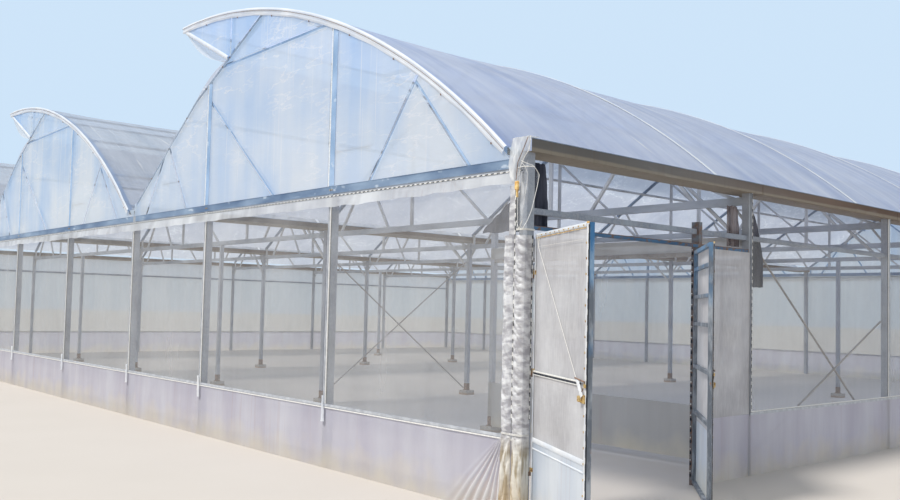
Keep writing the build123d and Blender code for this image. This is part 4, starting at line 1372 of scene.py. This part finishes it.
for side, wall_y, outward in end_walls(strip_out):
    spots = [x - offset for x in span_starts for offset in (*gable_post_offsets, span)]
    grids = [(8, 14, tuft(x, wall_y, outward, x), (0, outward, 0)) for x in spots]
    make_cloth(
        f"{side}_rail_tufts",
        grids,
        finishes["clean"],
        "skirt_film",
        "gathered",
        ["gable_lock_strips"],
    )

# Crumpled film laced over the corner post, in two puffed columns drawn in by a tie
wrap_low = 0.06
wrap_high = 2.73
wrap_y = -0.069
wrap_tie_z = 0.80
wrap_columns = ((-0.222, -0.094, 0.19, 0.048, 1.0), (-0.078, 0.056, 0.085, 0.040, 2.0))


def wrap_point(low_x, high_x, pitch, depth, seed):
    def place(u, v):
        z = between(wrap_low, wrap_high, v)
        drawn_in = 1 - 0.75 * 2.718 ** (-(((z - wrap_tie_z) / 0.05) ** 2))
        bag = 1.0 + 0.45 * max(0.0, 1 - z / 0.7)
        phase = z / pitch + 1.6 * u + 1.3 * rough(u * 1.5, z * 2.5, 0.0, seed)
        scallop = 0.55 + 0.45 * abs(sin(pi * phase)) ** 0.8
        if z < wrap_tie_z - 0.04:
            lean = 3.4 * (wrap_tie_z - z) * (1 if seed < 2 else -1)
            folds = pi * (1.6 * u + lean + 0.5 * rough(u, z * 3.0, 0.0, seed))
            scallop = 0.30 + 0.70 * abs(cos(folds)) ** 0.7
        crumple = 1 + 0.25 * rough(u * 3.0, z * 6.0, 0.0, seed + 1)
        puff = depth * wave(u) ** 0.5 * scallop * crumple * bag * drawn_in
        sway = 0.010 * rough(1.0, z * 5.0, 0.0, seed)
        x = between(low_x, high_x, u) + sway * (1 - u)
        return Vector((x, wrap_y - min(max(puff, 0.001), 0.058), z))

    return place


def strip_point(u, v):
    """The wrap's flat end, which runs on up beside the post to the valance."""
    z = 2.70 + v * 0.52
    crumple = rough(u * 2.0, z * 6.0, 0.0, 5.0)
    x = -0.168 + u * 0.076 + 0.012 * (1 - u) * rough(0.0, z * 4, 0.0, 5.0)
    return Vector((x, wrap_y - 0.004 - 0.010 * wave(u) * (1 + crumple), z))


def corner_side_point(u, v):
    """The wrap's edge, laid round the corner onto the side of the post."""
    z = between(wrap_low, wrap_high, v)
    crumple = 0.5 + 0.5 * rough(u * 2.0, z * 9.0, 0.0, 6.0)
    return Vector((0.0555 + 0.008 * crumple * wave(u) ** 0.6, -0.068 + u * 0.100, z))


make_cloth(
    "corner_wrapping",
    [(14, 400, wrap_point(*column), (0, -1, 0)) for column in wrap_columns]
    + [(8, 300, corner_side_point, (1, 0, 0)), (8, 50, strip_point, (0, -1, 0))],
    finishes["crinkled"],
    "wrap_film",
    "gathered",
    ["gutter_end_posts"],
    stands_for=["corner_wrap"],
)

# The wrap's lace slots, dark blocks in painted shade
slots, tucks = bmesh.new(), bmesh.new()
lace_low = 0.95
lace_high = 3.20
lock_line(slots, tucks, (-0.086, -0.0705, lace_low), up, (0, -1, 0), lace_high - lace_low)
lock_line(slots, tucks, (0.0575, 0.026, lace_low), up, (1, 0, 0), wrap_high - lace_low)
make_piece("wrap_slots", slots, finishes["slot"], "lock_strip")
make_piece("wrap_laces", tucks, finishes["tuck"], "lock_strip")

# Film gathered over the gutter's end: its left and right edge by height
cap_low = 3.235
cap_high = 3.690
cap_left = ((3.235, -0.115), (3.33, -0.170), (3.42, -0.190), (3.56, -0.175), (3.690, -0.140))
cap_right = ((3.235, -0.060), (3.40, -0.030), (3.50, 0.030), (3.56, 0.092), (3.690, 0.103))


def profile(place, pairs):
    """Value at a place of a line through (place, value) pairs."""
    for (low, first), (high, last) in zip(pairs, pairs[1:]):
        if place <= high:
            return first + (last - first) * max(0.0, (place - low) / (high - low))
    return pairs[-1][1]


def cap_point(u, v):
    z = between(cap_low, cap_high, v)
    left, right = profile(z, cap_left), profile(z, cap_right)
    fan = sin(9 * u + 5 * v + rough(u * 2, v * 2, 0.0, 11.0))
    puff = 0.026 * wave(u) ** 0.5 * (1 + 0.35 * fan + 0.4 * rough(u * 5.0, v * 5.0, 0.0, 12.0))
    return Vector((between(left, right, u), -0.0745 - min(max(puff, 0.001), 0.045), z))


def cap_top_point(u, v):
    """The same film laid back over the gutter and the foot of the roof film."""
    crumple = rough(u * 4.0, v * 4.0, 0.0, 14.0)
    z = cap_high + 0.004 + 0.010 * (1 + crumple) * wave(u) * wave(v)
    return Vector((-0.16 + u * 0.262, -0.078 + v * 0.14, z))


make_cloth(
    "gutter_end_film",
    [(24, 32, cap_point, (0, -1, 0)), (16, 10, cap_top_point, (0, 0, 1))],
    finishes["milky"],
    "wrap_film",
    "gathered",
    ["gutters"],
)

# Clear film draped round the corner below the gutter's end and drawn together at a tie
bag_low = 2.785
bag_high = 3.46
bag_path = ((-0.055, -0.080), (0.0, -0.098), (0.055, -0.106), (0.108, -0.050), (0.126, 0.035))
bag_reach = (
    (2.785, 0.46), (2.86, 0.62), (2.97, 0.76), (3.10, 0.86),
    (3.20, 0.94), (3.32, 1.0), (3.40, 0.82), (3.46, 0.22),
)


def bag_point(u, v):
    z = between(bag_low, bag_high, v)
    share = u * profile(z, bag_reach) * (len(bag_path) - 1)
    x, y = (profile(share, list(enumerate(places))) for places in zip(*bag_path))
    ripple = 1 + 0.035 * sin(18 * u + 3 * rough(0.0, v * 3, 0.0, 2.0))
    ripple += 0.03 * rough(u * 6, v * 4, 0.0, 3.0)
    return Vector((x * ripple, y * ripple, z))


make_cloth(
    "clear_film_bundle",
    [(48, 40, bag_point, (0.5, -1, 0))],
    finishes["clear"],
    "wrap_film",
    "draped",
    ["gutter_end_posts"],
    stands_for=["film_bundle"],
)

# White hems and sharp creases of the clear film
bm = bmesh.new()
for u, low_v, high_v, radius in (
    (0.0, 0.0, 1.0, 0.0032), (0.62, 0.35, 0.97, 0.0018), (1.0, 0.0, 1.0, 0.0032),
):
    bent_bar(bm, [bag_point(u, low_v + (high_v - low_v) * step / 24) for step in range(25)], radius)
bent_bar(bm, [bag_point(u / 16, 0.90) for u in range(17)], 0.0045)
bent_bar(bm, [cap_point(1.0, step / 20) for step in range(21)], 0.0045)
make_piece("film_hems", bm, finishes["tuck"], "wrap_film")

# Twine ties round the gathered film and the wrap, with two loose ends
bm = bmesh.new()
tie_z = 2.785
tie_corners = (
    (-0.060, -0.074), (-0.055, -0.088), (0.0, -0.104),
    (0.052, -0.108), (0.066, -0.080), (0.062, 0.050),
)
low_corners = ((-0.226, -0.072), (-0.20, -0.088), (0.03, -0.088), (0.0595, -0.070), (0.0600, 0.02))
for dz in (-0.006, 0.0, 0.006):
    bent_bar(bm, [(*corner, tie_z + dz) for corner in tie_corners], 0.0032)
tube(bm, (0.0, -0.107, tie_z), (-0.035, -0.112, tie_z + 0.085), 0.003)
tube(bm, (0.0, -0.107, tie_z), (0.045, -0.112, tie_z + 0.080), 0.003)
for dz in (-0.005, 0.005):
    bent_bar(bm, [(*corner, wrap_tie_z + dz) for corner in low_corners], 0.0035)
make_piece("film_ties", bm, finishes["twine"], "wrap_film")

# Rusty wire down the gathered film, and the yellow rag knotted at its lower end
bm = bmesh.new()
wire = ((0.100, -0.108, 3.675), (0.045, -0.114, 3.560), (-0.022, -0.117, 3.440), (-0.048, -0.112, 3.270))
bent_bar(bm, wire, 0.004)
make_piece("cap_wire", bm, finishes["rust"], "rusty_steel")

bm = bmesh.new()
block(bm, (-0.075, -0.112, 3.17), (-0.025, -0.078, 3.26), 0.010)
block(bm, (-0.055, -0.106, 3.10), (-0.038, -0.080, 3.18), 0.005)
make_piece("yellow_rag", bm, finishes["rag"], "wrap_film")


# Shade cloth: pleated lengths that hang behind the girt, drawn shut at both ends
def pleat_point(low_y, high_y, low_x, high_x, low_z, high_z, head_share, pleats, seed):
    """Once round a flat hanging length: its front, then back along its rear."""
    middle_x, half_x = (low_x + high_x) / 2, (high_x - low_x) / 2

    def place(u, v):
        front = u < 0.5
        share = 2 * u if front else 2 - 2 * u
        z = between(low_z, high_z, v)
        z += 0.014 * (2 * v - 1) * rough(share * 6, 0.0, 0.0, seed + 4)
        spread = head_share + (1 - head_share) * min(1.0, (1 - v) * 1.6) ** 0.7
        y = low_y + (high_y - low_y) * (share * spread)
        y += 0.010 * share * rough(v * 5, 0.0, 0.0, seed)
        phase = pleats * 2 * pi * share + 1.5 * rough(v * 2, share, 0.0, seed)
        fold = half_x * (0.30 + 0.22 * sin(phase))
        fold *= wave(share) ** 0.3
        sway = half_x * 0.40 * sin(pleats * pi * share + 2)
        x = middle_x + sway * wave(share) + (fold if front else -fold)
        return Vector((x, min(y, high_y), z))

    return place


shade_lengths = (
    (0.083, 0.358, -0.083, -0.027, 2.840, 3.470, 0.80, 4, 2.0),
    (4.083, 4.455, -0.0490, -0.0262, 2.365, 3.315, 0.34, 4, 3.0),
    (3.662, 3.950, -0.108, -0.053, 2.862, 3.368, 0.80, 5, 4.0),
)
bm = bmesh.new()
for length_of_cloth in shade_lengths:
    cloth_grid(bm, 96, 30, pleat_point(*length_of_cloth), (0, 0, 0))
bmesh.ops.remove_doubles(bm, verts=bm.verts[:], dist=0.0003)
bmesh.ops.holes_fill(bm, edges=[edge for edge in bm.edges if edge.is_boundary], sides=0)
bmesh.ops.recalc_face_normals(bm, faces=bm.faces[:])
bundles = make_piece(
    "shade_cloth_bundles",
    bm,
    finishes["shade"],
    "shade_cloth",
    stands_for=["shade_bundles"],
    smooth=True,
)


def drape_point(u, v):
    """Shade cloth hung inside the corner, gathered up towards the post."""
    x = -0.700 + u * 0.655
    low_z = 2.785 + 0.008 * sin(u * 14.0)
    high_z = 2.81 + 0.46 * u
    fold = 0.009 * sin(u * 30.0 + v * 2) + 0.005 * rough(u * 5, v * 3, 0.0, 8.0)
    return Vector((x, 0.064 + max(fold, -0.011), low_z + v * (high_z - low_z)))


make_cloth(
    "corner_drape",
    [(70, 20, drape_point, (0, -1, 0))],
    finishes["shade"],
    "shade_cloth",
    "draped",
    ["gutter_end_posts"],
    stands_for=["shade_bundles"],
)


# Door leaves: hems over the tubes, the laced middle rail, latches, stay and a rag
hem_side = 0.046
dot_step = 0.13
nail_foot = leaf_foot + 0.06
film_top = skirt_top + 0.005
rail_end = leaf_width - hem_side - 0.1
head_end = leaf_width - hem_side


def leaf_spot(side, s, depth, z):
    """A point on a leaf: s from the pin along it, depth out of its sheet, and height."""
    pin, along, outward = leaf_axes(side)
    spot = pin - outward * leaf_sheet_in + along * s + outward * depth
    return Vector((spot.x, spot.y, z))


def leaf_hem(side, ends, heights, seed):
    upright = heights[1] - heights[0] > ends[1] - ends[0]

    def place(u, v):
        across = u if upright else v
        s = between(*ends, u)
        z = between(*heights, v)
        crumple = 1 + 0.8 * rough(s * 14.0, z * 14.0, 0.0, seed)
        return leaf_spot(side, s, 0.0085 + 0.006 * wave(across) ** 0.5 * crumple, z)

    return place


def leaf_boxes(side, name, finish, slot, boxes):
    """A piece of a leaf made of small boxes, each between two (s, depth, z) corners."""
    pin, along, outward = leaf_axes(side)
    turn = Matrix((along, outward, Vector(up))).transposed().to_4x4()
    matrix = Matrix.Translation(pin - outward * leaf_sheet_in) @ turn
    bm = bmesh.new()
    for low, high in boxes:
        laid_block(bm, matrix, low, high, 0.0012)
    make_piece(f"{side}_leaf_{name}", bm, finishes[finish], slot, f"{side}_leaf")


def nails():
    """Rust-orange nail heads up the free hem and along the top one."""
    for number in range(int((leaf_top - leaf_foot - 0.06) / dot_step)):
        z = nail_foot + number * dot_step
        shift = 0.010 * rough(number, 0.5, 0.0, 5.0)
        yield (leaf_width - 0.040 + shift, 0.012, z), (leaf_width - 0.026 + shift, 0.019, z + 0.018)
    for number in range(11):
        s = 0.08 + number * 0.12
        yield (s, 0.012, leaf_top - 0.026), (s + 0.018, 0.019, leaf_top - 0.014)


def rust_marks():
    """Rusty stretches along the top tube and at its free corner."""
    for number in range(9):
        s = 0.04 + number * 0.145
        z = leaf_top - 0.040 + 0.003 * rough(number, 2.0, 0.0, 6.0)
        yield (s, 0.006, z - 0.005), (s + 0.125, 0.0125, z)
    yield (leaf_width - 0.042, 0.004, leaf_top - 0.008), (leaf_width + 0.001, 0.0150, leaf_top + 0.006)


def trims():
    """White edges of the middle rail, and bits of film down the free tube."""
    for low_z, high_z in ((0.009, 0.024), (-0.019, -0.011)):
        yield (0.03, 0.006, leaf_rail_z + low_z), (rail_end, 0.0145, leaf_rail_z + high_z)
    for number in range(20):
        z = leaf_foot + 0.05 + number * 0.135
        yield (leaf_width - 0.003, 0.0115, z), (leaf_width + 0.002, 0.014, z + 0.05)


# Dark slots in painted shade beside the free tube and across at the middle rail
leaf_slots = (
    ((leaf_width - 0.005, 0.004, leaf_foot + 0.02), (leaf_width + 0.003, 0.0125, leaf_top - 0.02)),
    ((0.03, 0.006, leaf_rail_z - 0.011), (rail_end, 0.0135, leaf_rail_z + 0.009)),
)

# Hasp, padlock and keeper, then the bolt's bar and shackle as two ends each
padlock = (
    ((leaf_width - 0.105, 0.012, 1.245), (leaf_width - 0.012, 0.022, 1.315)),
    ((leaf_width - 0.125, 0.022, 1.255), (leaf_width - 0.075, 0.044, 1.305)),
    ((leaf_width - 0.030, 0.014, 1.375), (leaf_width + 0.001, 0.026, 1.405)),
)
bolt_bars = (
    ((leaf_width - 0.215, 0.030, 1.445), (leaf_width - 0.01, 0.024, 1.425), 0.007),
    ((leaf_width - 0.09, 0.022, 1.315), (leaf_width - 0.045, 0.022, 1.37), 0.005),
)

# Ends along the leaf, heights, columns and rows of each hem
hems = (
    ((head_end, leaf_width + 0.001), (leaf_foot, leaf_top), 6, 260),
    ((0.004, 0.030), (leaf_foot, leaf_top), 4, 200),
    ((0.03, head_end), (leaf_top - 0.034, leaf_top + 0.002), 140, 5),
    ((0.03, head_end), (film_top - 0.040, film_top + 0.010), 140, 5),
    ((0.03, head_end), (film_top - 0.105, film_top - 0.088), 140, 3),
)
for side in ("left", "right"):
    outward = leaf_axes(side)[2]
    make_cloth(
        f"{side}_leaf_hems",
        [
            (columns, rows, leaf_hem(side, ends, heights, number * 3.0), outward)
            for number, (ends, heights, columns, rows) in enumerate(hems)
        ],
        finishes["clean"],
        "skirt_film",
        "stretched",
        [f"{side}_leaf_frame"],
        body=f"{side}_leaf",
    )
    leaf_boxes(side, "nails", "yellow", "door_hardware", nails())
    leaf_boxes(side, "rust", "rag", "door_hardware", rust_marks())
    leaf_boxes(side, "slots", "slot", "lock_strip", leaf_slots)
    leaf_boxes(side, "trims", "tuck", "lock_strip", trims())
    leaf_boxes(side, "padlock", "yellow", "door_hardware", padlock)
    bolt = bmesh.new()
    for start, end, radius in bolt_bars:
        tube(bolt, leaf_spot(side, *start), leaf_spot(side, *end), radius, 8)
    make_piece(f"{side}_leaf_bolt", bolt, finishes["rust"], "door_hardware", f"{side}_leaf")

# Taut stay from the left leaf's upper corner down to its latch
bm = bmesh.new()
stay_depth = 0.020
knot = (leaf_width - 0.16, 0.026, 1.40)
loop = (0.135, stay_depth, leaf_top - 0.13)
stays = [(loop, knot, 0.0028, 6)]
stays += [((s, stay_depth, leaf_top - 0.010), loop, 0.0028, 6) for s in (0.10, 0.175)]
stays.append((loop, (leaf_width - 0.12, 0.0185, loop[2] - 0.01), 0.0014, 5))
for start, end, radius, sides in stays:
    tube(bm, leaf_spot("left", *start), leaf_spot("left", *end), radius, sides)
make_piece("left_leaf_stay", bm, finishes["twine"], "door_hardware", "left_leaf")


def rag_point(u, v):
    """A twisted strip of white cloth round the latch."""
    s = leaf_width - 0.17 + 0.11 * v + 0.030 * (u - 0.5)
    z = 1.425 - 0.135 * v + 0.045 * (u - 0.5)
    depth = 0.024 + 0.012 * sin(pi * u) + 0.006 * rough(u * 3, v * 6, 0.0, 3.0)
    return leaf_spot("left", s, depth, z)


make_cloth(
    "left_leaf_rag",
    [(8, 24, rag_point, leaf_axes("left")[2])],
    finishes["clean"],
    "wrap_film",
    "draped",
    ["left_leaf_latch"],
    body="left_leaf",
)

# Knots of black and white lacing on the inner half of the door jamb
ties, knots = bmesh.new(), bmesh.new()
for number in range(21):
    z = 0.10 + number * 0.13
    x = -0.044 + 0.004 * rough(number, 1.0, 0.0, 2.0)
    block(knots, (x, 2.849, z), (x + 0.020, 2.8605, z + 0.035), 0.003)
    block(ties, (x + 0.002, 2.850, z + 0.055), (x + 0.016, 2.8605, z + 0.070), 0.003)
make_piece("jamb_knots", knots, finishes["slot"], "lock_strip")
make_piece("jamb_ties", ties, finishes["tuck"], "lock_strip")

# Haunches: sloping bars from the posts up to the chords, with seats on the valley posts
haunch_radius = 0.018
seat_half = (0.05, 0.034)
bm = bmesh.new()
for post_x in valley_lines[1:-1]:
    for y in inner_frames:
        for side in (-1, 1):
            start = (post_x + side * 0.03, y, chord_bottom - 0.22)
            head_x = post_x + side * 0.20
            tube(bm, start, (head_x, y, chord_bottom - 0.005), haunch_radius)
            block(
                bm,
                (head_x - seat_half[0], y - seat_half[1], chord_bottom - 0.012),
                (head_x + seat_half[0], y + seat_half[1], chord_bottom),
                0.003,
            )
for post_x, side in ((0.0, -1), (-width, 1)):
    for y in inner_frames:
        foot = (post_x + side * 0.04, y, chord_bottom - 0.2)
        tube(bm, foot, (post_x + side * 0.2, y, chord_bottom), haunch_radius)
make_piece("post_haunches", bm, finishes["truss"], "galvanised_steel")

# Shoes of the inner posts: a plate on the footing and a sleeve round the post's foot
shoe_half = 0.062
footing_top = 0.1
mid_post_x = 4.6


def shoe(bm, x, y, sleeve_x):
    plate_z, sleeve_z = footing_top, footing_top + 0.01
    low, high = (x - shoe_half, y - shoe_half, plate_z), (x + shoe_half, y + shoe_half, plate_z + 0.012)
    block(bm, low, high, 0.002)
    low, high = (x - sleeve_x, y - 0.044, sleeve_z), (x + sleeve_x, y + 0.044, footing_top + 0.16)
    block(bm, low, high, 0.003)


bm = bmesh.new()
for x in valley_lines[1:-1]:
    for y in inner_frames:
        shoe(bm, x, y, 0.054)
for start_x in span_starts:
    for y in inner_frames[::3]:
        shoe(bm, start_x - mid_post_x, y, 0.044)
make_piece("post_shoes", bm, finishes["rust"], "rusty_steel")


def bolt_head(bm, spot, reach, radius):
    """A bolt head on a gable's face, reaching out of it."""
    spot = Vector(spot)
    tube(bm, spot, spot + Vector((0, reach, 0)), radius)


bm = bmesh.new()
for _, wall_y, outward in end_walls(post_face):
    for start_x in span_starts:
        for offset in gable_post_offsets:
            for dx in (-0.02, 0.02):
                spot = (start_x - offset + dx, wall_y, chord_bottom + 0.05)
                bolt_head(bm, spot, outward * 0.008, 0.009)
make_piece("chord_bolts", bm, finishes["yellow"], "door_hardware")

# Flat strips on the gables' uprights, with the white edge of the film along one side
bm = bmesh.new()
edges = bmesh.new()
for _, wall_y, outward in end_walls(0.0505):
    near_y, far_y = sorted((wall_y, wall_y + outward * 0.003))
    edge_near_y, edge_far_y = sorted((wall_y, wall_y + outward * 0.005))
    for start_x in span_starts:
        for offset in gable_post_offsets:
            head = min(arch_height(-offset) - arch_depth, rafter_height(-offset) - 0.02)
            x = start_x - offset
            block(bm, (x - 0.045, near_y, chord_top), (x + 0.060, far_y, head), 0.0008)
            block(edges, (x - 0.066, edge_near_y, chord_top), (x - 0.045, edge_far_y, head), 0.0012)
make_piece("upright_strips", bm, finishes["truss"], "galvanised_steel")
make_piece("upright_edges", edges, finishes["tuck"], "lock_strip")

# Strips on the braces under the arch: a dark slot in painted shade on the long one, white film on both
brace_face = 0.0202
slots, edges = bmesh.new(), bmesh.new()
long_brace, short_brace = arch_braces()
long_bands = (
    (edges, -0.020, -0.010, 0.003), (slots, -0.010, 0.012, 0.002), (edges, 0.012, 0.020, 0.003),
)
short_bands = ((edges, -0.016, 0.018, 0.003),)
for _, wall_y, outward in end_walls(brace_face):
    for start_x in span_starts:
        for (low, high), bands in ((long_brace, long_bands), (short_brace, short_bands)):
            foot = Vector((start_x + low[0], wall_y, low[1]))
            run = Vector((start_x + high[0], wall_y, high[1])) - foot
            matrix = placed(foot, run.normalized(), (0, outward, 0))
            for target, near, far, proud in bands:
                laid_block(target, matrix, (0.08, near, 0), (run.length - 0.08, far, proud))
make_piece("brace_slots", slots, finishes["slot"], "lock_strip")
make_piece("brace_edges", edges, finishes["tuck"], "lock_strip")

# Seam along the folded edge of the roof film, with clips under it
seam_steps = 120
clip_half = 0.008
seams, clips = bmesh.new(), bmesh.new()
for _, wall_y, outward in end_walls(strip_out):
    for start_x in span_starts:
        spots = []
        for step in range(seam_steps + 1):
            turn = between(*roof_turns, step / seam_steps)
            x, z = arch_point(turn, -0.030 + 0.006 * rough(turn * 9, 0.0, 0.0, start_x))
            spots.append(Vector((start_x + x, wall_y + outward * 0.033, z)))
        bent_bar(seams, spots, 0.0028, 4)
        for step in range(3, 118, 15):
            x, z = arch_point(between(*roof_turns, step / seam_steps), -0.100)
            low_y, high_y = sorted((wall_y, wall_y + outward * 0.012))
            low = (start_x + x - clip_half, low_y, z - 0.010)
            block(clips, low, (start_x + x + clip_half, high_y, z + 0.010), 0.002)
make_piece("hem_seams", seams, finishes["rust"], "lock_strip")
make_piece("hem_clips", clips, finishes["rust"], "lock_strip")

# Ties inside the gables, and bolts at the rafters' nodes
bm = bmesh.new()
tie_ends = (((-3.385, 3.926), (-2.56, 3.924)), ((-8.476, 3.967), (-7.79, 3.964)))
for _, frame_y, _ in end_walls(0.02):
    for start_x in span_starts:
        for low, high in tie_ends:
            start = (start_x + low[0], frame_y, low[1])
            tube(bm, start, (start_x + high[0], frame_y, high[1]), 0.012, 8)
make_piece("gable_ties", bm, finishes["rust"], "galvanised_steel")

bm = bmesh.new()
rafter_bolts = (-8.9, -8.24, -7.6, -6.95, -6.42, -6.2, -5.6)
arch_bolts = (arch_node_x, -gable_post_offsets[0], -4.4)
bolt_places = [(x, rafter_height(x)) for x in rafter_bolts]
bolt_places += [(x, arch_height(x) - arch_depth / 2) for x in arch_bolts]
for _, wall_y, outward in end_walls(0.050):
    for start_x in span_starts:
        for x, z in bolt_places:
            bolt_head(bm, (start_x + x, wall_y, z), outward * 0.014, 0.011)
make_piece("frame_bolts", bm, finishes["rust"], "door_hardware")

# Gutter lips: a lip along the top of each outer side, darkened as painted shadow under the fold
gutter_high = 3.673
bm = bmesh.new()
for x in valley_lines:
    low = (x + 0.0965, -0.05, gutter_high - 0.006)
    block(bm, low, (x + 0.1050, length + 0.05, gutter_high + 0.003), 0.001)
make_piece("gutter_lip_shadows", bm, finishes["rafter"], "weathered_gutter")

# Gutter joints: a strap round the channel near each post
bm = bmesh.new()
for x in valley_lines:
    for y in inner_frames:
        low_y, high_y = y + 0.20, y + 0.24
        low = (x + 0.0985, low_y, gutter_seat - 0.003)
        block(bm, low, (x + 0.1035, high_y, gutter_high + 0.002), 0.001)
        low = (x - 0.24, low_y, gutter_seat - 0.005)
        block(bm, low, (x + 0.1035, high_y, gutter_seat - 0.0005), 0.001)
make_piece("gutter_joints", bm, finishes["gutter"], "weathered_gutter")

# Floor, backdrop, light and camera
backdrop_colour = (0.62, 0.78, 0.95)


def pale_floor():
    n = Nodes("pale_floor")
    grain = n.noise(0.6, detail=3.0)
    lit = n.add("BsdfPrincipled", Roughness=0.9, Specular_IOR_Level=0.1)
    n.join(lit.inputs["Base Color"], n.mix(grain, (0.60, 0.55, 0.50), (0.64, 0.59, 0.54)))
    n.add("OutputMaterial", Surface=lit.outputs["BSDF"])
    return n.material


bm = bmesh.new()
bmesh.ops.create_circle(bm, cap_ends=True, segments=96, radius=160)
bmesh.ops.translate(bm, vec=(-width / 2, length / 2, -0.001), verts=bm.verts[:])
mesh = bpy.data.meshes.new("floor")
bm.to_mesh(mesh)
bm.free()
mesh.materials.append(pale_floor())
floor = bpy.data.objects.new("floor", mesh)
scene.collection.objects.link(floor)

world = bpy.data.worlds.new("studio")
scene.world = world
world.use_nodes = True
tree = world.node_tree
tree.nodes.clear()


def world_node(kind, output, *values, operation=None):
    """A node of the world with its first inputs set or joined, in order."""
    node = tree.nodes.new("ShaderNode" + kind)
    if operation:
        node.operation = operation
    for socket, value in zip(node.inputs, values):
        if isinstance(value, bpy.types.NodeSocket):
            tree.links.new(value, socket)
        else:
            socket.default_value = value
    return node.outputs[output]


# A plain backdrop where the camera looks or a reflection or pane shows it, soft light elsewhere
rays = tree.nodes.new("ShaderNodeLightPath").outputs
mirrored = world_node(
    "Math", "Value", rays["Is Glossy Ray"], rays["Is Transmission Ray"], operation="MAXIMUM"
)
seen = world_node("Math", "Value", rays["Is Camera Ray"], mirrored, operation="MAXIMUM")
soft = world_node("Background", "Background", (0.84, 0.92, 1.0, 1), 0.60)
behind = world_node("Background", "Background", (*backdrop_colour, 1), 1.0)
both = world_node("MixShader", "Shader", seen, soft, behind)
tree.links.new(both, tree.nodes.new("ShaderNodeOutputWorld").inputs["Surface"])

sun = bpy.data.lights.new("soft_sun", "SUN")
sun.energy = 3.2
sun.angle = radians(12)
sun.color = (1.0, 0.97, 0.92)
sun_object = bpy.data.objects.new("soft_sun", sun)
sun_object.rotation_euler = Vector((0.12, 0.78, -1.0)).to_track_quat("-Z", "Y").to_euler()
scene.collection.objects.link(sun_object)

# Camera at the place from which the photograph was taken
camera_place = Vector((6.178, -6.374, 2.008))
camera_yaw = 0.8533
camera_pitch = 0.0485
camera_roll = 0.0234
camera_lens = 36.34
camera_shift = 0.0152
ahead = Vector((
    -sin(camera_yaw) * cos(camera_pitch),
    cos(camera_yaw) * cos(camera_pitch),
    sin(camera_pitch),
))
level = Vector((cos(camera_yaw), sin(camera_yaw), 0))
upright = level.cross(ahead)
right = cos(camera_roll) * level + sin(camera_roll) * upright
top = -sin(camera_roll) * level + cos(camera_roll) * upright
camera = bpy.data.cameras.new("camera")
camera.lens = camera_lens
camera.sensor_width = 36
camera.shift_y = camera_shift
camera.clip_end = 400
camera_object = bpy.data.objects.new("camera", camera)
aim = Matrix((right, top, -ahead)).transposed().to_4x4()
camera_object.matrix_world = Matrix.Translation(camera_place) @ aim
scene.collection.objects.link(camera_object)
scene.camera = camera_object

scene.view_settings.view_transform = "Standard"
scene.cycles.transparent_max_bounces = 48
